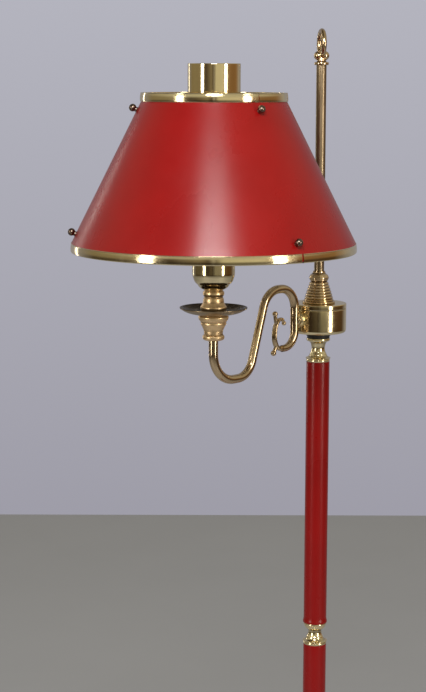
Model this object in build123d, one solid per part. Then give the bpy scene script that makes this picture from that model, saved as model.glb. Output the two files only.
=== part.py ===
from build123d import *
from math import sqrt
import os

# Pharmacy floor lamp, in millimetres. The origin is on the column's axis at the floor, +Z is up,
# and the arm reaches out along -Y. Angles about Z are counted from -Y towards +X.

# ---- driving dimensions -------------------------------------------------------------------------
FIT = 0.05                      # radial clearance of a shaft in a hole
GAP = 0.3                       # clearance between the stand and the swivelling arm

BASE_R = 130.0                  # outside of the brass rim band
FELT_R, FELT_T = 120.0, 2.0
COVER_T = 1.2
RIM_BAND_T, RIM_BAND_H = 2.4, 11.0
WEIGHT_R, WEIGHT_RIM_H = 114.0, 13.0
NUT_RECESS_R, NUT_RECESS_H = 16.0, 18.0
INLET_Z, INLET_BORE_R, INLET_BODY_R, INLET_FLANGE_R = 10.2, 3.75, 5.6, 7.4
INLET_IN_Y, INLET_OUT_Y = 116.0, 134.0
COLLAR_Z = 52.0                 # top of the base cover, foot of its collar
COLUMN_Z = 79.0                 # foot of the lowest red tube

TUBE_R, TUBE_T, TUBE_LIP_R = 13.1, 1.0, 13.8
SECTION_H, COUPLER_H, SPIGOT_H = 304.5, 25.7, 11.0
SECTIONS = ("lower", "middle", "upper")
PIPE_R, PIPE_BORE_R = 5.0, 3.75
NUT_AF, NUT_H = 17.0, 6.0

HUB_R, HUB_H, HUB_WALL, HUB_FLOOR = 31.1, 33.1, 2.0, 2.5
LID_H = 5.7
BUSH_R = 9.0
WASHER_R, WASHER_H = 13.4, 6.4
STOP_PIN_R, STOP_PIN_REACH, STOP_LUG_REACH = 1.2, 14.0, 12.0
WINDOW_R = 3.2                  # wire window in the pipe and its bush

CONE_H, CONE_FLANGE_R, CONE_COURSES = 35.5, 19.6, 6
ROD_R, ROD_BORE_R, ROD_TOP_Z = 5.6, 4.2, 1374.3
EYE_R, EYE_WIRE_R, EYE_TURN = 13.4, 2.8, 52.0

ARM_REACH = 171.0               # column axis to lamp axis
ARM_STEM_Y = 41.0               # column axis to the arm's upright length beside the hub
BOSS_Z, BOSS_R = 1095.0, 7.9
ARM_R, ARM_BORE_R = 4.8, 2.8
LEAD_R, WIRE_HOLE_R = 1.7, 2.3
VASE_Z, DISH_Z, CUP_Z = 1086.3, 1114.6, 1140.3
NIPPLE_R = 5.0
DISH_R, DISH_T = 35.8, 1.0
CUP_R, CUP_T, CUP_TOP_Z = 22.6, 1.0, 1176.0
HOLDER_R, HOLDER_TOP_Z, HOLDER_FLANGE_Z = 19.6, 1202.0, 1193.0
BULB_R, BULB_CAP_R, BULB_Z, BULB_L = 30.0, 13.2, 1168.5, 105.0

SHADE_Z, SHADE_H = 1190.0, 145.9        # cone between its two brass bands
SHADE_R_LOW, SHADE_R_TOP = 150.0, 77.1  # outside of the bands
SHADE_T, BAND_T, BAND_H, HEM_H = 0.8, 1.3, 9.3, 8.0
SHADE_TURN = 78.0                       # first spider leg and the bands' joints
LOW_SEAM_GAP, TOP_SEAM_GAP = 3.6, 0.8
LEG_R, LEGS, LEG_BACK = 1.6, 3, 4.0     # radius, number, square length inside the wall
LEG_LOW_Z, LEG_TOP_Z = 1199.6, 1327.5   # where the legs pass through the shade
CHIMNEY_R, CHIMNEY_T = 27.5, 1.0
CHIMNEY_Z, CHIMNEY_TOP_Z = 1318.0, 1375.0
BALL_R, BALL_OUT = 4.0, 4.9

# ---- worked out ---------------------------------------------------------------------------------
COLUMN_TOP_Z = COLUMN_Z + len(SECTIONS) * SECTION_H + (len(SECTIONS) - 1) * COUPLER_H
TOP_COLLAR_H = 27.0
WASHER_Z = COLUMN_TOP_Z + TOP_COLLAR_H
HUB_Z = WASHER_Z + WASHER_H + GAP
HUB_TOP_Z = HUB_Z + HUB_H
SEAM_Z = HUB_TOP_Z - LID_H
CONE_Z = HUB_TOP_Z + GAP
PIPE_TOP_Z = CONE_Z + 12.0
LAMP_Y = -ARM_REACH
ARM_LOW_Z, ARM_CREST_Z, CURL_Z = SHADE_Z - 149.5, SHADE_Z - 58.4, SHADE_Z - 124.8
# corners and bend radii of the arm's S, from the lamp's side to the hub's
ARM_BENDS = [(-ARM_REACH, ARM_LOW_Z), (-115.4, ARM_LOW_Z), (-87.0, ARM_CREST_Z), (-ARM_STEM_Y, ARM_CREST_Z)]
ARM_RADII = [30.8, 24.0, 25.1, 23.4]
CURL_R, CURL_END_Y = 17.5, -62.0
CONE_SLOPE = (SHADE_R_LOW - SHADE_R_TOP) / SHADE_H


# ---- helpers ------------------------------------------------------------------------------------
def turned(profile, y=0.0):
    """Solid of revolution about the upright axis at y. profile is a closed outline of (radius,
    height) points that climbs the outside first; a third number on a point bows the line
    leading to it outwards by that much, or inwards where it is negative."""
    edges = []
    for start, end in zip(profile, profile[1:] + profile[:1]):
        p, q = Vector(start[0], 0, start[1]), Vector(end[0], 0, end[1])
        if len(end) == 3:
            along = (q - p).normalized()
            bow = Vector(along.Z, 0, -along.X) * end[2]
            edges.append(Edge.make_three_point_arc(p, (p + q) * 0.5 + bow, q))
        else:
            edges.append(Edge.make_line(p, q))
    solid = Solid.revolve(Face(Wire(edges)), 360, Axis.Z)
    return Pos(0, y, 0) * solid


def rod(radius, low, high, y=0.0):
    """Upright cylinder between two heights."""
    return Pos(0, y, low) * Cylinder(radius, high - low, align=(Align.CENTER, Align.CENTER, Align.MIN))


def ring(inner, outer, low, high, y=0.0):
    """Upright tube between two heights."""
    return rod(outer, low, high, y) - rod(inner, low - 1, high + 1, y)


def rod_y(radius, near, far, z, x=0.0):
    """Cylinder along Y between two Y values."""
    lying = Rot(-90, 0, 0) * Cylinder(radius, far - near, align=(Align.CENTER, Align.CENTER, Align.MIN))
    return Pos(x, near, z) * lying


def block(x0, x1, y0, y1, z0, z1):
    """Box between its corner values."""
    return Pos((x0 + x1) / 2, (y0 + y1) / 2, (z0 + z1) / 2) * Box(x1 - x0, y1 - y0, z1 - z0)


def hexagon(across_flats, height):
    """Hexagonal prism standing on the XY plane."""
    return extrude(RegularPolygon(across_flats / sqrt(3), 6), height)


def at_angle(shape, angle, y=0.0):
    """Shape drawn towards -Y, turned about the upright axis at y towards +X."""
    return Pos(0, y, 0) * (Rot(0, 0, angle) * shape)


# ---- base ---------------------------------------------------------------------------------------
def base_felt():
    return rod(FELT_R, 0, FELT_T)


def base_weight():
    body = turned([
        (0, FELT_T), (WEIGHT_R - 1, FELT_T), (WEIGHT_R, FELT_T + 1), (WEIGHT_R, WEIGHT_RIM_H),
        (104, 18.5), (60, 24.5), (30, 30), (0, 30),
    ])
    body -= rod(PIPE_R + 0.3, 0, 40)
    body -= rod(NUT_RECESS_R, 0, FELT_T + NUT_RECESS_H)
    channel = block(-4.5, 4.5, 0, WEIGHT_R + 1, 0, INLET_Z + 4)
    return body - channel


def cover_outline(inset, foot):
    """Outside of the spun cover moved inwards by inset, as profile points going up."""
    r = BASE_R - RIM_BAND_T - inset
    return [
        (r, foot), (r, 15.5 - inset * 0.4), (r - 4.5, 19.6 - inset, 1.8), (112 - inset, 20.6 - inset),
        (109 - inset, 24.4 - inset, 1.0), (104 - inset, 25.4 - inset, 0.8),
        (52, 33 - inset * 1.05, -3.5), (27 - inset * 0.5, 45 - inset, -4.2),
        (22 - inset, COLLAR_Z - inset, 0.9),
    ]


def base_cover():
    outer = cover_outline(0, FELT_T + 0.5)
    inner = cover_outline(COVER_T, FELT_T + 0.5)
    body = turned(outer + [(0, COLLAR_Z), (0, COLLAR_Z - COVER_T)] + [
        # back down the inside, so each bow belongs to the point before it and changes sign
        point[:2] if len(after) < 3 else (*point[:2], -after[2])
        for point, after in zip(inner[::-1], [(0, 0)] + inner[:0:-1])
    ])
    body -= rod(PIPE_R + FIT, 30, 60)
    return body - rod_y(INLET_BODY_R, 100, 140, INLET_Z)


def base_rim_band():
    r, low = BASE_R - RIM_BAND_T + FIT, FELT_T + 0.5
    band = turned([
        (r, low), (BASE_R - 1, low), (BASE_R, low + 1, 0.3), (BASE_R, low + RIM_BAND_H - 1.5),
        (BASE_R - 1.5, low + RIM_BAND_H, 0.4), (r, low + RIM_BAND_H),
    ])
    return band - rod_y(INLET_BODY_R, 100, 140, INLET_Z)


def inlet_bush():
    body = rod_y(INLET_BODY_R - FIT, INLET_IN_Y, INLET_OUT_Y - 3, INLET_Z)
    flange_back = BASE_R + 0.1
    flange = rod_y(INLET_FLANGE_R, flange_back, INLET_OUT_Y, INLET_Z)
    flange = chamfer(flange.edges().sort_by(Axis.Y)[-1], 1.2)
    return body + flange - rod_y(INLET_BORE_R, INLET_IN_Y - 1, INLET_OUT_Y + 1, INLET_Z)


def base_collar():
    top = COLUMN_Z
    return turned([
        (PIPE_R + FIT, COLLAR_Z), (23, COLLAR_Z), (24.4, COLLAR_Z + 2), (23, COLLAR_Z + 4, 0.6),
        (21.4, COLLAR_Z + 4.6), (14.2, top - 6, -3.4), (13.0, top - 5),
        (14.2, top - 3.4, 0.2), (14.2, top - 1.4, 0.8), (13.2, top, 0.2),
        (TUBE_R - TUBE_T - FIT, top), (TUBE_R - TUBE_T - FIT, top + SPIGOT_H),
        (PIPE_R + FIT, top + SPIGOT_H),
    ])


def tie_washer():
    top = FELT_T + NUT_RECESS_H
    return ring(PIPE_R + FIT, 14, top - 1.6, top)


def tie_nut():
    top = FELT_T + NUT_RECESS_H - 1.6
    return Pos(0, 0, top - NUT_H) * hexagon(NUT_AF, NUT_H) - rod(PIPE_R + FIT, 0, 40)


# ---- column -------------------------------------------------------------------------------------
def tie_pipe():
    pipe = ring(PIPE_BORE_R, PIPE_R, FELT_T + 8, PIPE_TOP_Z)
    return pipe - rod_y(WINDOW_R, 0, 10, BOSS_Z + 3)


def column_tube(foot):
    inner = TUBE_R - TUBE_T
    return turned([
        (inner, foot), (TUBE_LIP_R - 0.4, foot), (TUBE_LIP_R, foot + 0.8, 0.1), (TUBE_LIP_R, foot + 2.2),
        (TUBE_R, foot + 6.5, -0.1), (TUBE_R, foot + SECTION_H), (inner, foot + SECTION_H),
    ])


def coupler_body(z):
    """Outline of a coupler's foot from the lower tube up to its waist."""
    spigot = TUBE_R - TUBE_T - FIT
    return [
        (PIPE_R + FIT, z - SPIGOT_H), (spigot, z - SPIGOT_H), (spigot, z), (12.5, z),
        (12.7, z + 3.4, 0.7), (13.8, z + 3.7, 0.1), (13.8, z + 4.8, 0.4),
        (9.2, z + 9.4, -0.9), (7.5, z + 15.6, -0.5),
    ]


def coupler(z):
    """Turned brass coupler between two tubes, foot at z."""
    spigot, top = TUBE_R - TUBE_T - FIT, z + COUPLER_H
    return turned(coupler_body(z) + [
        (8.0, z + 17.6, -0.1), (12.2, top - 2.6, 0.7), (12.9, top, 0.3), (spigot, top),
        (spigot, top + SPIGOT_H), (PIPE_R + FIT, top + SPIGOT_H),
    ])


def top_collar():
    """The same turned foot under a trumpet that carries the hub."""
    z, top = COLUMN_TOP_Z, COLUMN_TOP_Z + TOP_COLLAR_H
    return turned(coupler_body(z) + [
        (8.1, z + 19.4, -0.1), (12.4, top - 3.0, -1.0), (13.2, top - 2.0, 0.2), (13.2, top),
        (PIPE_R + FIT, top),
    ])


def friction_washer():
    z = WASHER_Z
    return turned([
        (BUSH_R + FIT, z), (12.6, z), (12.6, z + 2.2), (WASHER_R, z + 2.6), (WASHER_R, z + WASHER_H),
        (BUSH_R + FIT, z + WASHER_H),
    ])


def pivot_bush():
    bush = ring(PIPE_R + FIT, BUSH_R, WASHER_Z, CONE_Z)
    bush -= rod_y(WINDOW_R, 0, 12, BOSS_Z + 3)
    return bush - rod_y(STOP_PIN_R + FIT, 6, 12, HUB_Z + 6)


def stop_pin():
    return rod_y(STOP_PIN_R, 6.2, STOP_PIN_REACH, HUB_Z + 6)


def stepped_cone():
    z, bore = CONE_Z, PIPE_R + FIT
    foot_r, foot_h, head_r, head_h = 15.2, 4.6, 9.4, 23.4
    outline = [
        (bore, z), (CONE_FLANGE_R - 0.6, z), (CONE_FLANGE_R, z + 0.8, 0.1),
        (CONE_FLANGE_R - 0.4, z + 2.2, 0.2), (16.6, z + 2.8), (16.2, z + 4.2, 0.2), (foot_r, z + foot_h),
    ]
    # rounded courses that narrow upwards, like a beehive
    for course in range(1, CONE_COURSES + 1):
        share = course / CONE_COURSES
        r = foot_r + (head_r - foot_r) * share ** 1.1
        high = z + foot_h + (head_h - foot_h) * share
        outline += [(r + 0.5, high - 0.4, 0.7), (r, high)]
    outline += [
        (9.5, z + 24.6), (10.6, z + 26.8, 0.4), (10.6, z + 29.8, 0.7), (9.0, z + 32.2, 0.2),
        (7.0, z + CONE_H, -0.5), (ROD_R + FIT, z + CONE_H), (ROD_R + FIT, z + 14), (bore, z + 14),
    ]
    return turned(outline)


def finial_rod():
    return ring(ROD_BORE_R, ROD_R, CONE_Z + 14.5, ROD_TOP_Z)


def eye_centre():
    return ROD_TOP_Z + 7.5 + EYE_R + EYE_WIRE_R


def finial_knuckle():
    z = ROD_TOP_Z
    body = turned([
        (0, z - 8), (ROD_BORE_R - FIT, z - 8), (ROD_BORE_R - FIT, z), (7.4, z), (8.1, z + 1.0, 0.2),
        (8.1, z + 2.4), (7.0, z + 3.4, 0.2), (5.0, z + 4.2, -0.2), (4.6, z + 8), (0, z + 8),
    ])
    for side in (-1, 1):
        body += Pos(side * 3.4, 0, z + 10.2) * Sphere(5.2)
    body -= Pos(0, 0, eye_centre()) * (Rot(0, 90, 0) * Torus(EYE_R, EYE_WIRE_R + FIT))
    return at_angle(body, EYE_TURN)


def finial_eye():
    return at_angle(Pos(0, 0, eye_centre()) * (Rot(0, 90, 0) * Torus(EYE_R, EYE_WIRE_R)), EYE_TURN)


# ---- hub ----------------------------------------------------------------------------------------
def hub_housing():
    top = SEAM_Z - 0.15
    cup = turned([
        (BUSH_R + FIT, HUB_Z), (HUB_R - 3.4, HUB_Z), (HUB_R, HUB_Z + 3.4, 1.0), (HUB_R, top - 0.4),
        (HUB_R - 0.4, top), (HUB_R - HUB_WALL, top), (HUB_R - HUB_WALL, HUB_Z + HUB_FLOOR),
        (BUSH_R + FIT, HUB_Z + HUB_FLOOR),
    ])
    lug = block(-3, 3, -(HUB_R - HUB_WALL - 0.2), -STOP_LUG_REACH, HUB_Z + HUB_FLOOR - 0.5, HUB_Z + 8.2)
    return cup + lug - rod_y(PIPE_R + FIT, -HUB_R - 5, -20, BOSS_Z)


def hub_lid():
    low, inner = SEAM_Z + 0.15, HUB_R - HUB_WALL - FIT
    return turned([
        (inner - 1.6, low - 3), (inner, low - 3), (inner, low), (HUB_R - 0.4, low), (HUB_R, low + 0.4),
        (HUB_R, HUB_TOP_Z - 0.8), (HUB_R - 0.8, HUB_TOP_Z, 0.23), (BUSH_R + FIT, HUB_TOP_Z),
        (BUSH_R + FIT, HUB_TOP_Z - 2), (inner - 1.6, HUB_TOP_Z - 2),
    ])


def arm_boss():
    body = rod_y(BOSS_R, -38.2, -26, BOSS_Z)
    body += rod_y(BOSS_R + 0.5, -36.0, -33.6, BOSS_Z)
    body += rod_y(6.2, -40.6, -38.2, BOSS_Z)
    body -= rod(HUB_R + FIT, HUB_Z - 5, HUB_TOP_Z + 5)
    body += rod_y(PIPE_R, -32, -22.5, BOSS_Z)
    body -= rod(ARM_R + 0.1, BOSS_Z - 20, BOSS_Z + 20, -ARM_STEM_Y)
    return body - rod_y(ARM_BORE_R, -45, -20, BOSS_Z)


def boss_nut():
    nut = Pos(0, -23.7, BOSS_Z) * (Rot(90, 0, 0) * hexagon(14.0, 4.0))
    return nut - rod_y(PIPE_R + FIT, -40, -10, BOSS_Z)


def terminal_block():
    body = block(-8, 8, 14, 24, BOSS_Z - 4, BOSS_Z + 6)
    for x in (-4, 4):
        body -= rod_y(1.6, 13, 25, BOSS_Z + 0.5, x)
        body -= Pos(x, 0, 0) * rod(1.5, BOSS_Z + 2, BOSS_Z + 8, 19)
    return body


# ---- arm ----------------------------------------------------------------------------------------
def arm_path():
    """Centreline of the swan-neck arm, in the arm's upright plane, from the lamp to the hub."""
    corners = [(-ARM_REACH, VASE_Z + 9.0), *ARM_BENDS, (-ARM_STEM_Y, CURL_Z), (CURL_END_Y, CURL_Z)]
    return FilletPolyline(*[(0, y, z) for y, z in corners], radius=[*ARM_RADII, CURL_R])


def along(path, radius):
    """Round bar of one radius along a path."""
    return sweep(Plane(path @ 0, z_dir=path % 0) * Circle(radius), path=path)


def arm_tube():
    path = arm_path()
    tube = along(path, ARM_R) - along(path, ARM_BORE_R)
    return tube - rod_y(WIRE_HOLE_R, -ARM_STEM_Y, -30, BOSS_Z)


def arm_lead():
    """Twin lead from the hub through the boss and the arm up into the lamp holder."""
    corners = [(-ARM_REACH, CUP_Z + 20), *ARM_BENDS, (-ARM_STEM_Y, BOSS_Z), (-21.5, BOSS_Z)]
    path = FilletPolyline(*[(0, y, z) for y, z in corners], radius=[*ARM_RADII, 3.0])
    return along(path, LEAD_R)


def arm_scroll():
    """Cast C-scroll on the arm's end: a leaf that goes on from the tube, with three round buds."""
    z, root = CURL_Z, CURL_END_Y - 0.3
    spine = Spline(
        (0, root, z), (0, -69.6, z + 2.2), (0, -73.6, z + 9.2), (0, -74.0, z + 18.0), (0, -72.2, z + 26.0),
        (0, -67.6, z + 31.4), (0, -62.4, z + 32.4), (0, -59.2, z + 28.8),
    )
    section = Plane(spine.position_at(0), x_dir=(1, 0, 0), z_dir=spine.tangent_at(0)) * Rectangle(6.2, 4.0)
    body = sweep(section, path=spine)
    for start, end in (((-71.0, z + 27.6), (-73.2, z + 35.6)), ((-71.6, z + 2.4), (-74.6, z - 2.4))):
        stalk = Line((0, *start), (0, *end))
        body += sweep(Plane(stalk @ 0, z_dir=stalk % 0) * Circle(2.0), path=stalk)
    for y, height, radius in ((-75.6, z - 3.6, 3.1), (-58.8, z + 28.0, 2.6), (-74.0, z + 37.2, 3.1)):
        body += Pos(0, y, height) * Sphere(radius)
    return body


# ---- lamp holder and vases ----------------------------------------------------------------------
def lower_vase():
    z, tube_bore, nipple_bore = VASE_Z, ARM_R + 0.1, NIPPLE_R + FIT
    return turned([
        (tube_bore, z), (8.8, z), (11.8, z + 3.2, 0.9), (10.9, z + 5.6, 0.4), (10.1, z + 8.4, -0.2),
        (10.6, z + 11.4, -0.2), (13.0, z + 15.6, 0.1), (13.6, z + 19.0, 0.4), (14.3, z + 20.6, -0.1),
        (15.9, z + 23.6, 0.3), (15.6, z + 26.0, 0.5), (13.8, z + 28.2, 0.2), (nipple_bore, z + 28.2),
        (nipple_bore, z + 9.4), (tube_bore, z + 9.4),
    ], LAMP_Y)


def drip_dish():
    z, t = DISH_Z, DISH_T
    return turned([
        (NIPPLE_R + FIT, z), (17, z), (DISH_R - 1.2, z + 5.0, 1.6), (DISH_R, z + 6.4, 0.3),
        (DISH_R - 0.8, z + 6.9, 0.2), (DISH_R - 2.0, z + 6.2, 0.1), (17, z + t, -1.6),
        (NIPPLE_R + FIT, z + t),
    ], LAMP_Y)


def upper_vase():
    z = DISH_Z + DISH_T
    return turned([
        (NIPPLE_R + FIT, z), (13.2, z), (14.0, z + 0.9, 0.2), (13.4, z + 2.0, 0.2), (13.9, z + 4.4, 0.1),
        (13.2, z + 7.4, 0.4), (11.0, z + 11.4, -0.2), (10.8, z + 14.0, 0.15), (10.0, z + 16.4, 0.2),
        (10.9, z + 18.4, -0.2), (11.3, z + 20.8, 0.3), (10.6, z + 22.8, 0.3), (9.8, z + 23.8),
        (10.2, CUP_Z, -0.1), (NIPPLE_R + FIT, CUP_Z),
    ], LAMP_Y)


def nipple():
    return ring(ARM_BORE_R, NIPPLE_R, VASE_Z + 9.6, CUP_Z + 9, LAMP_Y)


def socket_cup():
    z, t = CUP_Z, CUP_T
    return turned([
        (NIPPLE_R + FIT, z), (11.2, z), (17.2, z + 5.9, 0.6), (21.4, z + 12.2, 0.7), (CUP_R, z + 18, 0.3),
        (CUP_R, CUP_TOP_Z - 1.2), (CUP_R + 0.5, CUP_TOP_Z - 0.6, 0.1), (CUP_R, CUP_TOP_Z, 0.2),
        (CUP_R - t, CUP_TOP_Z), (CUP_R - t, z + 18), (20.5, z + 12.6, -0.3), (16.4, z + 6.5, -0.6),
        (10.8, z + t, -0.5), (NIPPLE_R + FIT, z + t),
    ], LAMP_Y)


def lamp_holder():
    z = CUP_Z + CUP_T
    return turned([
        (NIPPLE_R + FIT, z), (10.4, z), (15.0, z + 5), (17.0, z + 12), (HOLDER_R, z + 16),
        (HOLDER_R, HOLDER_FLANGE_Z - 3), (23.5, HOLDER_FLANGE_Z - 2.4), (23.5, HOLDER_FLANGE_Z),
        (HOLDER_R, HOLDER_FLANGE_Z), (HOLDER_R, HOLDER_TOP_Z), (17.2, HOLDER_TOP_Z),
        (17.2, HOLDER_FLANGE_Z - 2), (15.0, HOLDER_FLANGE_Z - 3), (15.0, z + 23),
        (3.0, z + 23), (3.0, CUP_Z + 9.2), (NIPPLE_R + FIT, CUP_Z + 9.2),
    ], LAMP_Y)


def threaded_shell():
    return ring(BULB_CAP_R + 0.2, 14.6, CUP_Z + 25, HOLDER_FLANGE_Z - 4, LAMP_Y)


def centre_contact():
    z = CUP_Z + CUP_T + 23
    foot = block(-3, 3, LAMP_Y + 4, LAMP_Y + 9, z + 0.1, z + 0.9)
    tongue = block(-3, 3, LAMP_Y - 4, LAMP_Y + 4.5, z + 0.1, z + 0.9)
    dome = rod(2.6, z + 0.9, BULB_Z - 0.3, LAMP_Y)
    return foot + tongue + dome


def holder_ring():
    grip = turned([
        (HOLDER_R + FIT, HOLDER_FLANGE_Z + 1.6), (25.9, HOLDER_FLANGE_Z + 1.6),
        (26.4, HOLDER_FLANGE_Z + 2.2), (26.4, HOLDER_FLANGE_Z + 4.2), (24.0, HOLDER_FLANGE_Z + 5.0),
        (23.0, HOLDER_FLANGE_Z + 8.0), (HOLDER_R + FIT, HOLDER_FLANGE_Z + 8.0),
    ], LAMP_Y)
    for step in range(12):
        notch = block(-1.6, 1.6, -30, -25.4, HOLDER_FLANGE_Z, HOLDER_FLANGE_Z + 4.6)
        grip -= at_angle(notch, step * 30, LAMP_Y)
    return grip


def bulb_cap():
    z = BULB_Z
    return turned([
        (0, z), (4.5, z), (5.0, z + 1.0), (9.0, z + 3.5), (BULB_CAP_R - 0.6, z + 5), (BULB_CAP_R, z + 7),
        (BULB_CAP_R, z + 27), (BULB_CAP_R - 0.6, z + 27), (BULB_CAP_R - 0.6, z + 8), (0, z + 8),
    ], LAMP_Y)


def bulb_glass():
    z, top = BULB_Z + 27, BULB_Z + BULB_L
    middle = top - BULB_R
    bow = 1 - sqrt(0.5)
    return turned([
        (BULB_CAP_R - 1.0, z), (BULB_CAP_R, z), (16.5, z + 14, -0.4), (27.2, middle - 12.6, -0.6),
        (BULB_R, middle, 0.7), (0, top, BULB_R * bow), (0, top - 1),
        (BULB_R - 1, middle, -(BULB_R - 1) * bow), (26.2, middle - 12.6, -0.7), (15.5, z + 14, 0.6),
    ], LAMP_Y)


# ---- shade --------------------------------------------------------------------------------------
def wall_r(z):
    """Outside radius of the shade cone at a height."""
    return SHADE_R_LOW - BAND_T - FIT - CONE_SLOPE * (z - SHADE_Z)


def shade_cone():
    low, top, t = SHADE_Z, SHADE_Z + SHADE_H, SHADE_T
    body = turned([
        (wall_r(low) - t, low - HEM_H), (wall_r(low), low - HEM_H), (wall_r(low), low), (wall_r(top), top),
        (wall_r(top), top + HEM_H), (wall_r(top) - t, top + HEM_H), (wall_r(top) - t, top),
        (wall_r(low) - t, low),
    ], LAMP_Y)
    for height in (LEG_LOW_Z, LEG_TOP_Z):
        for leg in range(LEGS):
            body -= leg_frame(leg, height) * Cylinder(LEG_R + 0.2, 8)
    return body


def leg_frame(leg, height):
    """Frame on the shade's outside where a leg passes through it, +Z straight out of the wall."""
    slope = Vector(0, -1, CONE_SLOPE).normalized()
    seat = Plane((0, -wall_r(height), height), x_dir=(1, 0, 0), z_dir=slope)
    turn = Location((0, LAMP_Y, 0), (0, 0, SHADE_TURN + leg * 360 / LEGS))
    return turn * seat.location


def spider_leg(inner_r, height):
    """Wire leg drawn towards -Y: level out of its ring, then square through the shade wall."""
    r = wall_r(height)
    slope = Vector(0, -1, CONE_SLOPE).normalized()
    wall = Vector(0, -r, height)
    bend = wall - slope * LEG_BACK
    tip = wall + slope * (BALL_OUT + 0.6)
    path = FilletPolyline((0, -inner_r, bend.Z), tuple(bend), tuple(tip), radius=7)
    return sweep(Plane(path @ 0, z_dir=path % 0) * Circle(LEG_R), path=path), bend.Z


def spider(inner_r, outer_r, height, low=None):
    """Flat or upright ring with three wire legs."""
    leg, z = spider_leg(outer_r - 1.0, height)
    low_z, high_z = (z - LEG_R, z + LEG_R) if low is None else (low, low + 1.5)
    body = ring(inner_r, outer_r, low_z, high_z)
    for step in range(LEGS):
        body += Rot(0, 0, SHADE_TURN + step * 360 / LEGS) * leg
    body -= rod(inner_r, low_z - 5, high_z + 5)
    return Pos(0, LAMP_Y, 0) * body


def shade_spider():
    return spider(HOLDER_R + FIT, 28.5, LEG_LOW_Z, HOLDER_FLANGE_Z + 0.05)


def chimney_spider():
    return spider(CHIMNEY_R + FIT, 31.0, LEG_TOP_Z)


def split_band(outer_r, low, lip_below, seam):
    """Brass strip round one edge of the shade, with a lip turned in under or over the hem."""
    high, inner, lip = low + BAND_H, outer_r - BAND_T, 1.0
    if lip_below:
        outline = [
            (inner - 2.4, low), (outer_r - 1.0, low), (outer_r, low + 1.1, 0.3), (outer_r, high - 1.1),
            (outer_r - 0.8, high, 0.25), (inner, high), (inner, low + lip), (inner - 2.4, low + lip),
        ]
    else:
        outline = [
            (inner, low), (outer_r - 0.8, low), (outer_r, low + 1.1, 0.25), (outer_r, high - 1.1),
            (outer_r - 1.0, high, 0.3), (inner - 2.4, high), (inner - 2.4, high - lip), (inner, high - lip),
        ]
    band = turned(outline)
    band -= Rot(0, 0, SHADE_TURN) * block(-seam / 2, seam / 2, -outer_r - 5, 0, low - 1, high + 1)
    return Pos(0, LAMP_Y, 0) * band


def shade_band_low():
    return split_band(SHADE_R_LOW, SHADE_Z - BAND_H, True, LOW_SEAM_GAP)


def shade_band_top():
    return split_band(SHADE_R_TOP, SHADE_Z + SHADE_H, False, TOP_SEAM_GAP)


def chimney():
    r, t = CHIMNEY_R, CHIMNEY_T
    return turned([
        (r - t, CHIMNEY_Z), (r, CHIMNEY_Z), (r, CHIMNEY_TOP_Z - 0.4), (r - 0.4, CHIMNEY_TOP_Z),
        (r - t, CHIMNEY_TOP_Z),
    ], LAMP_Y)


def ball_nuts():
    nuts = []
    for height in (LEG_LOW_Z, LEG_TOP_Z):
        for leg in range(LEGS):
            nut = Pos(0, 0, BALL_OUT) * Sphere(BALL_R)
            nut += Pos(0, 0, 0.15) * Cylinder(2.6, 3.5, align=(Align.CENTER, Align.CENTER, Align.MIN))
            nut -= Cylinder(LEG_R + FIT, 2 * (BALL_OUT + 0.8))
            nuts.append(leg_frame(leg, height) * nut)
    return Compound(nuts)


# ---- all nodes ----------------------------------------------------------------------------------
def build():
    """Every sub-part by its name."""
    nodes = {
        "base_felt": base_felt(), "base_weight": base_weight(), "base_cover": base_cover(),
        "base_rim_band": base_rim_band(), "inlet_bush": inlet_bush(), "base_collar": base_collar(),
        "tie_washer": tie_washer(), "tie_nut": tie_nut(), "tie_pipe": tie_pipe(),
        "top_collar": top_collar(), "friction_washer": friction_washer(), "pivot_bush": pivot_bush(),
        "stop_pin": stop_pin(), "stepped_cone": stepped_cone(), "finial_rod": finial_rod(),
        "finial_knuckle": finial_knuckle(), "finial_eye": finial_eye(),
        "hub_housing": hub_housing(), "hub_lid": hub_lid(), "arm_boss": arm_boss(),
        "boss_nut": boss_nut(), "terminal_block": terminal_block(), "arm_tube": arm_tube(),
        "arm_lead": arm_lead(), "arm_scroll": arm_scroll(), "lower_vase": lower_vase(),
        "drip_dish": drip_dish(), "upper_vase": upper_vase(), "nipple": nipple(),
        "socket_cup": socket_cup(), "lamp_holder": lamp_holder(), "threaded_shell": threaded_shell(),
        "centre_contact": centre_contact(), "holder_ring": holder_ring(), "bulb_cap": bulb_cap(),
        "bulb_glass": bulb_glass(), "shade_cone": shade_cone(), "shade_band_low": shade_band_low(),
        "shade_band_top": shade_band_top(), "shade_spider": shade_spider(),
        "chimney_spider": chimney_spider(), "chimney": chimney(), "ball_nuts": ball_nuts(),
    }
    for index, name in enumerate(SECTIONS):
        foot = COLUMN_Z + index * (SECTION_H + COUPLER_H)
        nodes[f"column_tube_{name}"] = column_tube(foot)
        if index < len(SECTIONS) - 1:
            nodes[f"coupler_{name}"] = coupler(foot + SECTION_H)
    return nodes


os.makedirs("parts", exist_ok=True)
for node, shape in build().items():
    export_step(shape, f"parts/{node}.step")
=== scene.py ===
import math

import bmesh
import bpy
import numpy as np
from bpy.props import FloatProperty, FloatVectorProperty, IntProperty, PointerProperty
from mathutils import Matrix, Vector


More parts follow.
